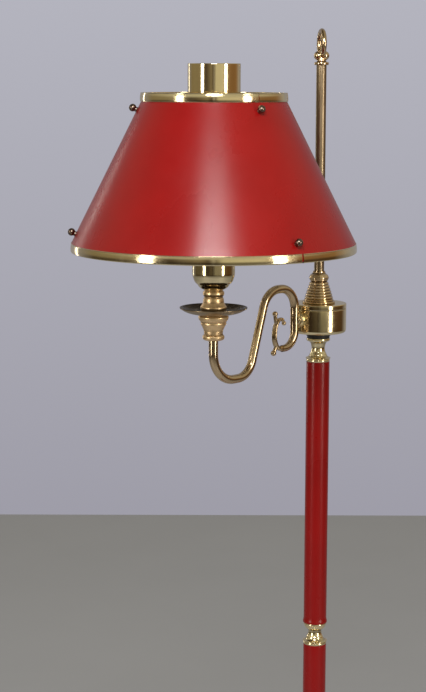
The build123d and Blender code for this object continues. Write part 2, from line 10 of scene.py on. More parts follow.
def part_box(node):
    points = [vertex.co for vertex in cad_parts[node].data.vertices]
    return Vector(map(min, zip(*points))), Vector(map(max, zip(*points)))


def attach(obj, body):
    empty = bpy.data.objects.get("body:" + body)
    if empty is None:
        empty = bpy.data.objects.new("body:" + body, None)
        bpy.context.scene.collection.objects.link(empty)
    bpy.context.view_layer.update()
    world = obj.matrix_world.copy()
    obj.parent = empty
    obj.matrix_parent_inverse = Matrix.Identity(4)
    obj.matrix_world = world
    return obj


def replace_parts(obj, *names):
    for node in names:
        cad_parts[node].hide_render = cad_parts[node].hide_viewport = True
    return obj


bl_info = {
    "name": "Pharmacy floor lamp",
    "version": (1, 0, 0),
    "blender": (4, 5, 0),
    "location": "3D View > Sidebar > Lamp",
    "description": "Builds the lacquer and brass surfaces of a pharmacy floor lamp round its fixed frame",
    "category": "Add Mesh",
}

# The column stands on the Z axis, the floor is at z = 0 and the arm reaches out along -Y.
# Outlines are in millimetres; angles about an upright axis run from -Y towards +X.

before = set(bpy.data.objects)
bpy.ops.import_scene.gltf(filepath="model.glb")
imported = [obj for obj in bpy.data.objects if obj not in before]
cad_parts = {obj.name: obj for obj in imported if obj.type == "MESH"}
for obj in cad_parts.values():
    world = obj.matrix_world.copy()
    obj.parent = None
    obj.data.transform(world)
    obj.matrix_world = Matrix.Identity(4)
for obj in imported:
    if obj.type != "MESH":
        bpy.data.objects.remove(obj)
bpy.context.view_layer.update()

MM = 0.001
STAND, ARM = "stand", "arm"


def foot(node):
    """Lowest height of a frame node, in millimetres."""
    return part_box(node)[0].z / MM


def crown(node):
    """Highest height of a frame node, in millimetres."""
    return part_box(node)[1].z / MM


def reach(node):
    """Outside radius of a turned frame node, in millimetres."""
    low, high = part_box(node)
    return (high.x - low.x) / 2 / MM


def axis_y(node):
    """Y of a turned frame node's upright axis, in millimetres."""
    low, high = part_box(node)
    return (high.y + low.y) / 2 / MM


LAMP_Y = axis_y("shade_cone")
PIPE_R = reach("tie_pipe")
TUBE_WALL = 1.0
SHEET = 0.8
HEM = 8.0
SPIGOT = 11
CLEARANCE = 0.05
CREASE = 40


# ---- what a user would change ----
KINDS = {
    "length": {"unit": "LENGTH", "min": 0},
    "angle": {"subtype": "ANGLE"},
    "share": {"subtype": "FACTOR", "min": 0, "max": 1},
    "power": {"min": 0},
}


def setting(kind, name, description, default):
    """A number with its unit; angles are given in degrees."""
    value = math.radians(default) if kind == "angle" else default
    return FloatProperty(name=name, description=description, default=value, **KINDS[kind])


def colour(name, description, default):
    return FloatVectorProperty(name=name, description=description, default=default, subtype="COLOR",
                               size=3, min=0, max=1)


class LampForm(bpy.types.PropertyGroup):
    arm_radius_lamp: setting("length", "Arm radius, lamp end", "Radius of the tube under the vase", 5.2 * MM)
    arm_radius_hub: setting("length", "Arm radius, curl end", "Radius of the tube at its curl", 3.8 * MM)
    seam_turn: setting("angle", "Band joint", "Where the two brass bands' ends meet", 79.6)
    leg_turn: setting("angle", "Leg turn", "Direction of the first wire leg and its ball nuts", 78)
    low_seam_gap: setting("length", "Gap in the lower band", "Distance between the strip's ends", 1.8 * MM)
    top_seam_gap: setting("length", "Gap in the upper band", "Distance between the strip's ends", 0.8 * MM)
    band_ripple: setting("length", "Band ripple", "How far the hand-fitted bands leave the circle", 0.3 * MM)
    eye_turn: setting("angle", "Finial turn", "Turn of the ring on top about the column", 52)
    steps_round: IntProperty(name="Steps round", description="Faces round a turned part", default=112, min=24)


class LampFinish(bpy.types.PropertyGroup):
    lacquer: colour("Lacquer", "Stove enamel on the shade, tubes and base", (0.225, 0.0034, 0.0034))
    enamel: colour("Shade lining", "Pale enamel inside the shade", (0.80, 0.77, 0.68))
    bright_brass: colour("Bright brass", "Polished and lacquered brass", (0.88, 0.75, 0.47))
    satin_brass: colour("Satin brass", "Gold-toned satin brass of the vases", (0.86, 0.62, 0.35))
    old_brass: colour("Aged brass", "Handled brass of the arm and finial", (0.66, 0.50, 0.31))
    patina: colour("Patina", "Brown film in hollows", (0.075, 0.036, 0.012))
    # Darkened, this bronze is also the painted shade inside the dish.
    bronze: colour("Bronze", "Browned brass of the dish and nuts", (0.19, 0.14, 0.11))
    wear: setting("share", "Handling", "Strength of smudges and rubbed patches", 0.5)


class LampStage(bpy.types.PropertyGroup):
    turn: setting("angle", "Camera turn", "Direction the camera looks, about the column", 43.7)
    floor_colour: colour("Floor", "Plain floor", (0.425, 0.435, 0.47))
    strip_power: setting("power", "Side boxes", "Power of each tall box in watts", 20)
    overhead_power: setting("power", "Top box", "Power of the overhead box in watts", 10)
    fill_power: setting("power", "Fill", "Power of the wide soft light in watts", 11)
    edge_power: setting("power", "Edge box", "Power of the slim box behind the left edge", 3)
    wash_power: setting("power", "Floor wash", "Power of the floor's own light in watts", 27)


# ---- surfaces ----
def outline(profile, soften):
    """Closed outline of a turned section, as points (radius, height), and how deep each lies in a hollow.

    A leg between two profile points is start + t (end - start) + 4 t (1 - t) bow n, with n its outward
    normal and bow the third number of the point it leads to. A parabola bridges each corner."""
    points = np.array([point[:2] for point in profile], float)
    bows = [point[2] if len(point) == 3 else 0.0 for point in profile]
    legs = []
    for index, start in enumerate(points):
        after = (index + 1) % len(points)
        leg = points[after] - start
        size = np.hypot(*leg)
        cut = min(soften / size, 0.3)
        count = 9 if bows[after] else 2 + int(size / 12)
        t = np.linspace(cut, 1 - cut, count)[:, None]
        normal = np.array([leg[1], -leg[0]]) / size
        legs.append(start + t * leg + 4 * t * (1 - t) * bows[after] * normal)
    u = np.array([0.2, 0.5, 0.8])[:, None]
    pieces = []
    for index, leg in enumerate(legs):
        corner = points[(index + 1) % len(points)]
        following = legs[(index + 1) % len(legs)][0]
        pieces += [leg, (1 - u) ** 2 * leg[-1] + 2 * u * (1 - u) * corner + u ** 2 * following]
    line = np.concatenate(pieces)
    return line, hollow_of(line)


def hollow_of(line, span=2.2, depth=0.35):
    """0 on crests and 1 in grooves of a closed line, by how far it lies inside its running average."""
    step = np.hypot(*(np.roll(line, -1, axis=0) - line).T)
    place = np.concatenate([[0], np.cumsum(step)])
    total = place[-1]
    offsets = np.linspace(-span, span, 9)
    at = (place[:-1, None] + offsets) % total
    closed = np.vstack([line, line[:1]])
    average = np.stack([np.interp(at, place, closed[:, k]).mean(axis=1) for k in (0, 1)], axis=1)
    ahead = np.roll(line, -1, axis=0) - np.roll(line, 1, axis=0)
    normal = np.stack([ahead[:, 1], -ahead[:, 0]], axis=1)
    normal /= np.maximum(np.hypot(*normal.T), 1e-9)[:, None]
    inside = ((average - line) * normal).sum(axis=1)
    return 0.5 + 0.5 * np.clip(inside / depth, -1, 1)


def new_object(name, data):
    made = bpy.data.objects.new(name, data)
    bpy.context.scene.collection.objects.link(made)
    return made


def add_piece(name, body, slot, parts, *finishes):
    """Puts grids of points into one mesh object that rides on a body.

    Each part is (grid, wrap_u, wrap_v, hollow), where grid[i, j] is a point in millimetres. Poles are
    merged, and a part whose enclosed volume, the sum of p0 . (p1 x p2) / 6, is negative is turned round."""
    points, quads, depths, start = [], [], [], 0
    for grid, wrap_u, wrap_v, hollow in parts:
        count_u, count_v = grid.shape[:2]
        i = np.arange(count_u if wrap_u else count_u - 1)[:, None]
        j = np.arange(count_v if wrap_v else count_v - 1)[None, :]
        next_i, next_j = (i + 1) % count_u, (j + 1) % count_v
        corners = [i * count_v + j, next_i * count_v + j, next_i * count_v + next_j, i * count_v + next_j]
        faces = np.stack(np.broadcast_arrays(*corners), axis=-1).reshape(-1, 4)
        flat = grid.reshape(-1, 3)
        p0, p1, p2, p3 = (flat[faces[:, k]] for k in range(4))
        volume = (p0 * np.cross(p1, p2)).sum() + (p0 * np.cross(p2, p3)).sum()
        quads.append((faces[:, ::-1] if volume < 0 else faces) + start)
        points.append(flat)
        depths.append(np.broadcast_to(hollow, (count_u, count_v)).reshape(-1))
        start += len(flat)
    vertices = (np.concatenate(points) * MM).astype(np.float32)
    faces = np.concatenate(quads).astype(np.int32)
    mesh = bpy.data.meshes.new(name)
    mesh.vertices.add(len(vertices))
    mesh.vertices.foreach_set("co", vertices.ravel())
    mesh.loops.add(faces.size)
    mesh.loops.foreach_set("vertex_index", faces.ravel())
    mesh.polygons.add(len(faces))
    mesh.polygons.foreach_set("loop_start", np.arange(0, faces.size, 4, dtype=np.int32))
    depth = mesh.attributes.new("hollow", "FLOAT", "POINT")
    depth.data.foreach_set("value", np.concatenate(depths).astype(np.float32))
    mesh.update(calc_edges=True)
    work = bmesh.new()
    work.from_mesh(mesh)
    bmesh.ops.remove_doubles(work, verts=work.verts, dist=1e-7)
    work.to_mesh(mesh)
    work.free()
    mesh.validate()
    mesh.shade_smooth()
    mesh.set_sharp_from_angle(angle=math.radians(CREASE))
    piece = new_object(name, mesh)
    for finish in finishes:
        mesh.materials.append(finish_of(finish))
    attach(piece, body)
    return piece


def full_turn(count):
    """Angles evenly spaced round a circle."""
    return np.linspace(0, 2 * np.pi, count, endpoint=False)


def turned(profile, y=0.0, around=None, soften=0.25):
    """Lathe surface: the outline (r, z) carried round an upright axis at y, so that a point is
    (r sin a, y - r cos a, z) for a from 0 to a full turn."""
    line, hollow = outline(profile, soften)
    steps = around or bpy.context.scene.lamp_form.steps_round
    angle = full_turn(steps)[:, None]
    r, z = line[:, 0], line[:, 1]
    grid = np.stack([r * np.sin(angle), y - r * np.cos(angle), np.broadcast_to(z, (steps, len(z)))], axis=-1)
    return grid, True, True, hollow


def swept_round(profile, y, start, end, ripple, soften=0.25):
    """Part of a lathe surface between two angles, its radius varied by ripple(a) and its ends drawn in
    to their middle line so that they close."""
    line, hollow = outline(profile, soften)
    angle = np.linspace(start, end, 340)
    angle = np.concatenate([[start], angle, [end]])[:, None]
    r, z = line[:, 0] + ripple(angle), line[:, 1]
    z = np.broadcast_to(z, r.shape).copy()
    order = np.argsort(line[:, 1], kind="stable")
    for end_row in (0, -1):
        r[end_row] = np.interp(line[:, 1], line[order, 1], r[end_row][order])
    grid = np.stack([r * np.sin(angle), y - r * np.cos(angle), z], axis=-1)
    return grid, False, True, hollow


def ball(centre, radius, squash=1.0, steps=40):
    """Sphere: centre + radius (sin p cos a, sin p sin a, squash cos p), poles merged afterwards."""
    polar = np.linspace(0, np.pi, steps // 2 + 1)[None, :]
    angle = full_turn(steps)[:, None]
    unit = [np.sin(polar) * np.cos(angle), np.sin(polar) * np.sin(angle),
            squash * np.cos(polar) * np.ones_like(angle)]
    grid = np.array(centre, float) + radius * np.stack(unit, axis=-1)
    return grid, True, False, 0.35


def placed(part, matrix):
    """The same grid turned and moved by a matrix in millimetres."""
    grid, wrap_u, wrap_v, hollow = part
    turn = np.array(matrix.to_3x3())
    return grid @ turn.T + np.array(matrix.translation), wrap_u, wrap_v, hollow


def filleted(corners, radii, step=1.6):
    """Points (y, z) along straight runs joined by arcs in the arm's upright plane.

    An arc with radius R and turn w starts R tan(w / 2) before its corner."""
    corners = np.array(corners, float)
    pieces = [corners[:1]]
    for before, corner, after, radius in zip(corners, corners[1:], corners[2:], radii):
        arrive = (corner - before) / np.linalg.norm(corner - before)
        leave = (after - corner) / np.linalg.norm(after - corner)
        turn = math.atan2(arrive[0] * leave[1] - arrive[1] * leave[0], arrive @ leave)
        side = math.copysign(1, turn)
        start = corner - arrive * radius * math.tan(abs(turn) / 2)
        centre = start + side * radius * np.array([-arrive[1], arrive[0]])
        first = math.atan2(*(start - centre)[::-1])
        angles = first + np.linspace(0, turn, max(6, int(radius * abs(turn) / step)))
        arc = centre + radius * np.stack([np.cos(angles), np.sin(angles)], axis=-1)
        run = np.linspace(0, 1, max(2, int(np.linalg.norm(start - pieces[-1][-1]) / (2 * step))))[1:-1, None]
        pieces += [pieces[-1][-1] + run * (start - pieces[-1][-1]), arc]
    pieces.append(corners[-1:])
    return np.concatenate(pieces)


def along(path, across, thick, power=2.0, sides=32, hollow=0.5):
    """Bar carried along a path in the arm's plane, with a superellipse for its section.

    Its points are across |cos a|^(2/power) along X and thick |sin a|^(2/power) along the path's normal."""
    tangent = np.gradient(path, axis=0)
    tangent /= np.linalg.norm(tangent, axis=1)[:, None]
    normal = np.stack([-tangent[:, 1], tangent[:, 0]], axis=1)
    angle = full_turn(sides)
    c, s = np.cos(angle), np.sin(angle)
    c = np.sign(c) * np.abs(c) ** (2 / power)
    s = np.sign(s) * np.abs(s) ** (2 / power)
    across, thick = (np.broadcast_to(value, len(path))[:, None] for value in (across, thick))
    x = across * c
    flat = path[:, None] + (thick * s)[..., None] * normal[:, None]
    return np.concatenate([x[..., None], flat], axis=-1), False, True, hollow


def closed_ends(part):
    """The same bar with each end drawn to its middle point."""
    grid, wrap_u, wrap_v, hollow = part
    ends = [np.broadcast_to(grid[k].mean(axis=0), grid[k].shape)[None] for k in (0, -1)]
    return np.concatenate([ends[0], grid, ends[1]]), wrap_u, wrap_v, hollow


def curve_through(points, count):
    """Smooth line through points: on each span the cubic whose slopes are half the distance between
    the neighbouring points."""
    p = np.array(points, float)
    ends = np.vstack([2 * p[0] - p[1], p, 2 * p[-1] - p[-2]])
    place = np.linspace(0, len(p) - 1, count)
    span = np.minimum(place.astype(int), len(p) - 2)
    t = (place - span)[:, None]
    a, b, c, d = (ends[span + k] for k in range(4))
    return 0.5 * (2 * b + (c - a) * t + (2 * a - 5 * b + 4 * c - d) * t ** 2 + (3 * b - a - 3 * c + d) * t ** 3)


# ---- shader building ----
def new_group(name, inputs, outputs):
    """Empty shader group with its sockets, as (group, its inputs, the node that takes its results).

    Inputs are numbers or colours by label, and outputs are labels, of which only Colour isn't a number."""
    group = bpy.data.node_groups.new(name, "ShaderNodeTree")
    for label, default in inputs.items():
        kind = "NodeSocketColor" if isinstance(default, tuple) else "NodeSocketFloat"
        group.interface.new_socket(name=label, in_out="INPUT", socket_type=kind).default_value = default
    for label in outputs:
        kind = "NodeSocketColor" if label == "Colour" else "NodeSocketFloat"
        group.interface.new_socket(name=label, in_out="OUTPUT", socket_type=kind)
    return group, group.nodes.new("NodeGroupInput").outputs, group.nodes.new("NodeGroupOutput")


def feed(node, values):
    """Sets or links a node's inputs by name or number."""
    for key, value in values.items():
        if isinstance(value, bpy.types.NodeSocket):
            node.id_data.links.new(value, node.inputs[key])
        else:
            node.inputs[key].default_value = value
    return node


def add(tree, kind, inputs, **settings):
    """Adds a shader node, sets its fields, and feeds its inputs."""
    made = tree.nodes.new("ShaderNode" + kind)
    for field, value in settings.items():
        setattr(made, field, value)
    return feed(made, inputs)


def mix(tree, factor, a, b):
    """Colour mix; each of the three is a socket or a value."""
    a, b = (value if isinstance(value, bpy.types.NodeSocket) else (*value[:3], 1) for value in (a, b))
    return add(tree, "Mix", {0: factor, 6: a, 7: b}, data_type="RGBA").outputs[2]


def times(tree, a, b):
    return add(tree, "Math", {0: a, 1: b}, operation="MULTIPLY").outputs[0]


def plus(tree, a, b, clamp=False):
    return add(tree, "Math", {0: a, 1: b}, operation="ADD", use_clamp=clamp).outputs[0]


def rescale(tree, value, low, high, to_low, to_high):
    """Clamped linear change of range."""
    inputs = {"Value": value, "From Min": low, "From Max": high, "To Min": to_low, "To Max": to_high}
    return add(tree, "MapRange", inputs).outputs[0]


def blend(tree, value, low, high, a, b):
    """Two colours mixed by how far a value lies between two bounds."""
    return mix(tree, rescale(tree, value, low, high, 0, 1), a, b)


def place(tree, stretch=(1, 1, 1), spot=(0, 0, 0)):
    """Object coordinates in metres, moved and stretched."""
    coordinates = add(tree, "TexCoord", {}).outputs["Object"]
    return add(tree, "Mapping", {"Vector": coordinates, "Scale": stretch, "Location": spot}).outputs[0]


def noise(tree, scale, detail=3.0, roughness=0.55, distortion=0.0, stretch=(1, 1, 1), spot=(0, 0, 0)):
    inputs = {"Vector": place(tree, stretch, spot), "Scale": scale, "Detail": detail, "Roughness": roughness,
              "Distortion": distortion}
    return add(tree, "TexNoise", inputs).outputs[0]


def upward(tree, vector):
    """The Z part of a vector."""
    return add(tree, "SeparateXYZ", {0: vector}).outputs["Z"]


def handling_marks(name):
    """Greasy and rubbed patches: wide soft clouds times finer streaks, for roughness and colour."""
    group, given, result = new_group(name, {"Size": 18.0, "Amount": 0.5, "Roughness": 0.2}, ("Roughness", "Mask"))
    patches = rescale(group, noise(group, given["Size"], 4, 0.6, 0.6), 0.42, 0.66, 0, 1)
    streaks = rescale(group, noise(group, 160.0, 2, stretch=(1, 1, 0.25), spot=(3, 1, 2)), 0.35, 0.75, 0, 1)
    mask = times(group, patches, plus(group, times(group, streaks, 0.5), 0.5))
    spread = times(group, mask, given["Amount"])
    feed(result, {"Roughness": plus(group, given["Roughness"], times(group, spread, 0.22), True), "Mask": spread})
    return group


def groove_patina(name):
    """Brown film that gathers in hollows and rubs off crests, broken up by noise."""
    inputs = {"Metal": (0.8, 0.6, 0.3, 1), "Film": (0.1, 0.05, 0.02, 1), "Amount": 0.6, "Spread": 0.2}
    group, given, result = new_group(name, inputs, ("Colour", "Mask"))
    depth = add(group, "Attribute", {}, attribute_name="hollow").outputs["Fac"]
    cloud = noise(group, 55.0, 4, 0.6, spot=(5, 2, 7))
    broken = plus(group, depth, times(group, plus(group, cloud, -0.5), 0.7))
    grooves = times(group, rescale(group, broken, 0.66, 0.98, 0, 1), given["Amount"])
    thin = times(group, rescale(group, cloud, 0.4, 0.75, 0, 1), given["Spread"])
    mask = plus(group, grooves, thin, True)
    feed(result, {"Colour": mix(group, mask, given["Metal"], given["Film"]), "Mask": mask})
    return group


def turning_lines(name):
    """Tool marks round a turned part: noise stretched flat, so that it changes only with height."""
    group, given, result = new_group(name, {"Lines": 900.0}, ("Height",))
    flat = (0.04, 0.04, 1)
    coarse = noise(group, given["Lines"], 2, 0.5, stretch=flat)
    fine = noise(group, times(group, given["Lines"], 3.1), 1, 0.5, stretch=flat)
    feed(result, {"Height": plus(group, times(group, coarse, 0.7), times(group, fine, 0.3))})
    return group


def small_marks(name):
    """Pits and short scratches: the narrow valleys between stretched cells, kept in a few patches."""
    group, given, result = new_group(name, {"Amount": 0.3}, ("Mask",))
    ends = {0: place(group, (1, 1, 0.3), (2, 4, 1)), 1: noise(group, 30.0, 2)}
    shifted = add(group, "VectorMath", ends, operation="ADD").outputs[0]
    cells = add(group, "TexVoronoi", {"Vector": shifted, "Scale": 85.0}, feature="DISTANCE_TO_EDGE").outputs[0]
    where = rescale(group, noise(group, 40.0, 2, spot=(9, 3, 5)), 0.56, 0.66, 0, 1)
    lines = rescale(group, cells, 0.0, 0.014, 1, 0)
    feed(result, {"Mask": times(group, times(group, lines, where), given["Amount"])})
    return group


def settled_dust(name):
    """Pale film on faces that look up, thicker in soft clouds."""
    group, given, result = new_group(name, {"Amount": 0.2}, ("Mask",))
    level = rescale(group, upward(group, add(group, "NewGeometry", {}).outputs["Normal"]), 0.35, 1.0, 0, 1)
    cloud = rescale(group, noise(group, 70.0, 5, 0.65), 0.3, 0.8, 0.3, 1)
    feed(result, {"Mask": times(group, times(group, level, cloud), given["Amount"])})
    return group


def effect(tree, maker, **inputs):
    """Places a shared effect in a material with its own values; it is built when first asked for."""
    name = maker.__name__
    made = tree.nodes.new("ShaderNodeGroup")
    made.node_tree = bpy.data.node_groups.get(name) or maker(name)
    return feed(made, inputs).outputs


def dusted(tree, colour, amount, film):
    """The colour under a film of settled dust."""
    return mix(tree, effect(tree, settled_dust, Amount=amount)["Mask"], colour, film)


def gloss(tree, size, amount, roughness):
    """A roughness with handling marks in it."""
    return effect(tree, handling_marks, Size=size, Amount=amount, Roughness=roughness)["Roughness"]


def new_material(name, **settings):
    """Material with one Principled shader whose uniform sockets are set by label."""
    material = bpy.data.materials.new(name)
    material.use_nodes = True
    tree = material.node_tree
    shader = tree.nodes["Principled BSDF"]
    feed(shader, {label.replace("_", " "): value for label, value in settings.items()})
    return material, tree, shader


def bump(tree, height, distance, strength, **under):
    made = add(tree, "Bump", {"Height": height, "Distance": distance, "Strength": strength, **under})
    return made.outputs[0]


def tinted(colour, share):
    """The colour scaled, kept within range."""
    return tuple(min(1.0, channel * share) for channel in colour)


# ---- finishes ----
def lacquer_finish():
    """Red stove enamel: clouded red, orange peel, greasy patches, fine dust."""
    look = bpy.context.scene.lamp_finish
    material, tree, shader = new_material("red_lacquer", IOR=1.5, Specular_IOR_Level=0.34)
    red = blend(tree, noise(tree, 7.0, 4), 0.3, 0.7, tinted(look.lacquer, 0.86), tinted(look.lacquer, 1.14))
    worn = mix(tree, effect(tree, small_marks, Amount=0.25)["Mask"], red, tinted(look.lacquer, 1.7))
    feed(shader, {"Base Color": dusted(tree, worn, 0.05, (0.35, 0.27, 0.24)),
                  "Roughness": gloss(tree, 9.0, look.wear * 0.7, 0.26),
                  "Normal": bump(tree, noise(tree, 260.0, 2, 0.5), 0.00006, 0.35)})
    return material


def enamel_finish():
    """Cream lining of the shade, warmer and browner towards its top from the bulb's heat."""
    look = bpy.context.scene.lamp_finish
    material, tree, shader = new_material("shade_lining", IOR=1.48)
    heat = rescale(tree, upward(tree, place(tree)), foot("chimney") * MM - 0.03, crown("shade_cone") * MM, 0, 1)
    cream = blend(tree, noise(tree, 12.0, 4), 0.3, 0.7, tinted(look.enamel, 0.94), look.enamel)
    feed(shader, {"Base Color": mix(tree, times(tree, heat, 0.5), cream, (0.42, 0.30, 0.17)),
                  "Roughness": gloss(tree, 14.0, 0.4, 0.42),
                  "Normal": bump(tree, noise(tree, 300.0, 2), 0.00008, 0.4)})
    return material


def metal_finish(name, brass, share, film, patina, spread, roughness, lines=0.0, size=22.0, dust=0.04, wear=1.0):
    """Brass in one of its states: film in the grooves, smudges in the gloss, tool marks or ripple."""
    look = bpy.context.scene.lamp_finish
    material, tree, shader = new_material(name, Metallic=1.0)
    colour = tinted(getattr(look, brass), share)
    film = effect(tree, groove_patina, Metal=(*colour, 1), Film=(*tinted(look.patina, film), 1), Amount=patina,
                  Spread=spread)
    marks = effect(tree, handling_marks, Size=size, Amount=look.wear * wear, Roughness=roughness)
    dulled = mix(tree, marks["Mask"], film["Colour"], tinted(colour, 0.82))
    scratches = effect(tree, small_marks, Amount=0.5 * wear)["Mask"]
    bright = mix(tree, times(tree, scratches, 0.5), dulled, tinted(colour, 1.15))
    rough = plus(tree, marks["Roughness"], times(tree, film["Mask"], 0.16))
    normal = bump(tree, noise(tree, 42.0, 2, 0.4), 0.00004 * wear, 0.5)
    if lines:
        normal = bump(tree, effect(tree, turning_lines, Lines=lines)["Height"], 0.00003, 0.6, Normal=normal)
    feed(shader, {"Base Color": dusted(tree, bright, dust, (0.42, 0.38, 0.32)),
                  "Roughness": plus(tree, rough, times(tree, scratches, 0.12), True), "Normal": normal})
    return material


def zinc_finish():
    """Zinc-plated steel: grey with faint yellow and blue clouds."""
    material, tree, shader = new_material("zinc_plate", Metallic=1.0)
    grey = blend(tree, noise(tree, 60.0, 4, 0.6), 0.35, 0.7, (0.60, 0.60, 0.56), (0.50, 0.54, 0.60))
    feed(shader, {"Base Color": dusted(tree, grey, 0.25, (0.34, 0.32, 0.29)),
                  "Roughness": gloss(tree, 45.0, 0.8, 0.33),
                  "Normal": bump(tree, noise(tree, 700.0, 2), 0.00003, 0.5)})
    return material


def moulding_finish(name, dark, light, roughness, grain):
    """Moulded plastic or pressed fibre: two close shades, fine grain, scuffs and dust."""
    material, tree, shader = new_material(name, IOR=1.5)
    body = blend(tree, noise(tree, 90.0, 5, 0.65), 0.3, 0.75, dark, light)
    feed(shader, {"Base Color": dusted(tree, body, 0.18, (0.30, 0.28, 0.25)),
                  "Roughness": gloss(tree, 60.0, 0.6, roughness),
                  "Normal": bump(tree, noise(tree, grain, 3), 0.00005, 0.6)})
    return material


def iron_finish():
    """Rough grey casting with rust-brown freckles."""
    material, tree, shader = new_material("cast_iron", Metallic=0.6)
    clouds = noise(tree, 40.0, 6, 0.7)
    rust = rescale(tree, noise(tree, 22.0, 5, 0.7, spot=(4, 4, 1)), 0.55, 0.7, 0, 1)
    grey = mix(tree, clouds, (0.05, 0.05, 0.052), (0.16, 0.155, 0.15))
    feed(shader, {"Base Color": mix(tree, times(tree, rust, 0.6), grey, (0.17, 0.075, 0.035)),
                  "Roughness": rescale(tree, clouds, 0.2, 0.8, 0.55, 0.85),
                  "Normal": bump(tree, noise(tree, 320.0, 5, 0.7), 0.0005, 0.7)})
    return material


def felt_finish():
    """Green pressed felt: matted fibres as crossed stretched noise."""
    material, tree, shader = new_material("green_felt", Roughness=0.95, Sheen_Weight=0.4, Sheen_Roughness=0.6)
    ways = (((1, 5, 1), (0, 0, 0)), ((5, 1, 1), (3, 2, 1)))
    one, other = (noise(tree, 420.0, 4, 0.7, 1.5, stretch, spot) for stretch, spot in ways)
    fibres = add(tree, "Math", {0: one, 1: other}, operation="MAXIMUM").outputs[0]
    feed(shader, {"Base Color": blend(tree, fibres, 0.4, 0.75, (0.018, 0.04, 0.022), (0.06, 0.12, 0.07)),
                  "Normal": bump(tree, fibres, 0.0006, 0.8)})
    return material


def opal_finish():
    """White-coated bulb: even milky glass, greyer towards the neck."""
    material, tree, shader = new_material("opal_glass", IOR=1.5, Coat_Weight=1.0, Coat_Roughness=0.04)
    neck = foot("bulb_glass") * MM
    near = rescale(tree, upward(tree, place(tree)), neck, neck + 0.02, 1, 0)
    clouds = noise(tree, 25.0, 4)
    milk = mix(tree, clouds, (0.80, 0.79, 0.75), (0.88, 0.87, 0.84))
    feed(shader, {"Base Color": mix(tree, near, milk, (0.62, 0.60, 0.55)),
                  "Roughness": rescale(tree, clouds, 0.3, 0.7, 0.3, 0.4)})
    return material


# Material, brass of the finish settings and its share, share of the patina's colour, patina in the
# grooves and over the rest, roughness; then tool marks, size of the smudges, dust and wear.
METALS = {
    "bright": ("bright_brass", "bright_brass", 1, 2.2, 0.55, 0.06, 0.10),
    "turned_bright": ("turned_bright_brass", "bright_brass", 1, 1, 0.75, 0.1, 0.11, 1400.0, 20.0, 0.04, 0.6),
    "satin": ("satin_gold_brass", "satin_brass", 1, 1, 0.6, 0.06, 0.34, 1500.0),
    "old": ("aged_brass", "old_brass", 0.92, 1, 0.8, 0.06, 0.14, 0.0, 14.0, 0.04, 0.3),
    "turned_old": ("turned_aged_brass", "old_brass", 1.1, 1, 0.9, 0.10, 0.12, 1400.0, 20.0, 0.04, 0.5),
    "browned": ("browned_turned_brass", "old_brass", 1.2, 1, 1.0, 0.25, 0.07, 1400.0),
    "rod": ("brown_drawn_brass", "old_brass", 0.48, 1, 0.6, 0.3, 0.32, 0.0, 30.0),
    # The dish's inside is the bronze darkened to 0.32: painted shade on the faces that look up under the cup and
    # shade.
    "dish_inside_painted_shade": ("dark_dish_brass", "bronze", 0.32, 0.5, 0.6, 0.3, 0.24),
    "dish": ("browned_dish_brass", "old_brass", 0.6, 1, 0.6, 0.3, 0.26, 900.0),
    "bronze": ("dark_bronze", "bronze", 1, 0.6, 0.7, 0.4, 0.24, 0.0, 34.0, 0.12),
    "machined": ("plain_machined_brass", "bright_brass", 0.9, 1, 0.4, 0.15, 0.28, 1800.0),
}
# Material, dark and light shade, roughness, grain.
MOULDINGS = {
    "fibre": ("black_fibre", (0.010, 0.010, 0.010), (0.022, 0.020, 0.018), 0.55, 420.0),
    "bakelite": ("bakelite", (0.010, 0.007, 0.005), (0.028, 0.018, 0.013), 0.24, 200.0),
    "sheath": ("lead_sheath", (0.58, 0.55, 0.48), (0.68, 0.65, 0.58), 0.45, 500.0),
    "terminal": ("terminal_plastic", (0.70, 0.69, 0.65), (0.80, 0.79, 0.75), 0.35, 300.0),
}
OTHERS = {"lacquer": lacquer_finish, "lining": enamel_finish, "zinc": zinc_finish, "iron": iron_finish,
          "felt": felt_finish, "opal": opal_finish}
made_finishes = {}


def finish_of(name):
    """A finish, made the first time a piece asks for it."""
    if name not in made_finishes:
        if name in METALS:
            made_finishes[name] = metal_finish(*METALS[name])
        elif name in MOULDINGS:
            made_finishes[name] = moulding_finish(*MOULDINGS[name])
        else:
            made_finishes[name] = OTHERS[name]()
    return made_finishes[name]


def stand_in(name, body, slot, parts, finish, *nodes):
    """Adds a piece that stands for frame nodes."""
    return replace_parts(add_piece(name, body, slot, parts, finish), *nodes)


def lathe(name, body, slot, finish, node, profile, y=0.0, around=None, soften=0.25):
    """Adds one turned piece that stands for a frame node."""
    stand_in(name, body, slot, [turned(profile, y, around, soften)], finish, node)


def span(node):
    """Lowest and highest height and outside radius of a turned frame node."""
    return foot(node), crown(node), reach(node)


def second_finish(piece, chosen):
    """Gives the second material to the faces that chosen(centres, normals) picks, both in metres."""
    mesh = piece.data
    centre, normal = np.zeros(len(mesh.polygons) * 3), np.zeros(len(mesh.polygons) * 3)
    mesh.polygons.foreach_get("center", centre)
    mesh.polygons.foreach_get("normal", normal)
    picked = chosen(centre.reshape(-1, 3), normal.reshape(-1, 3))
    mesh.polygons.foreach_set("material_index", picked.astype(np.int32))
    mesh.update()


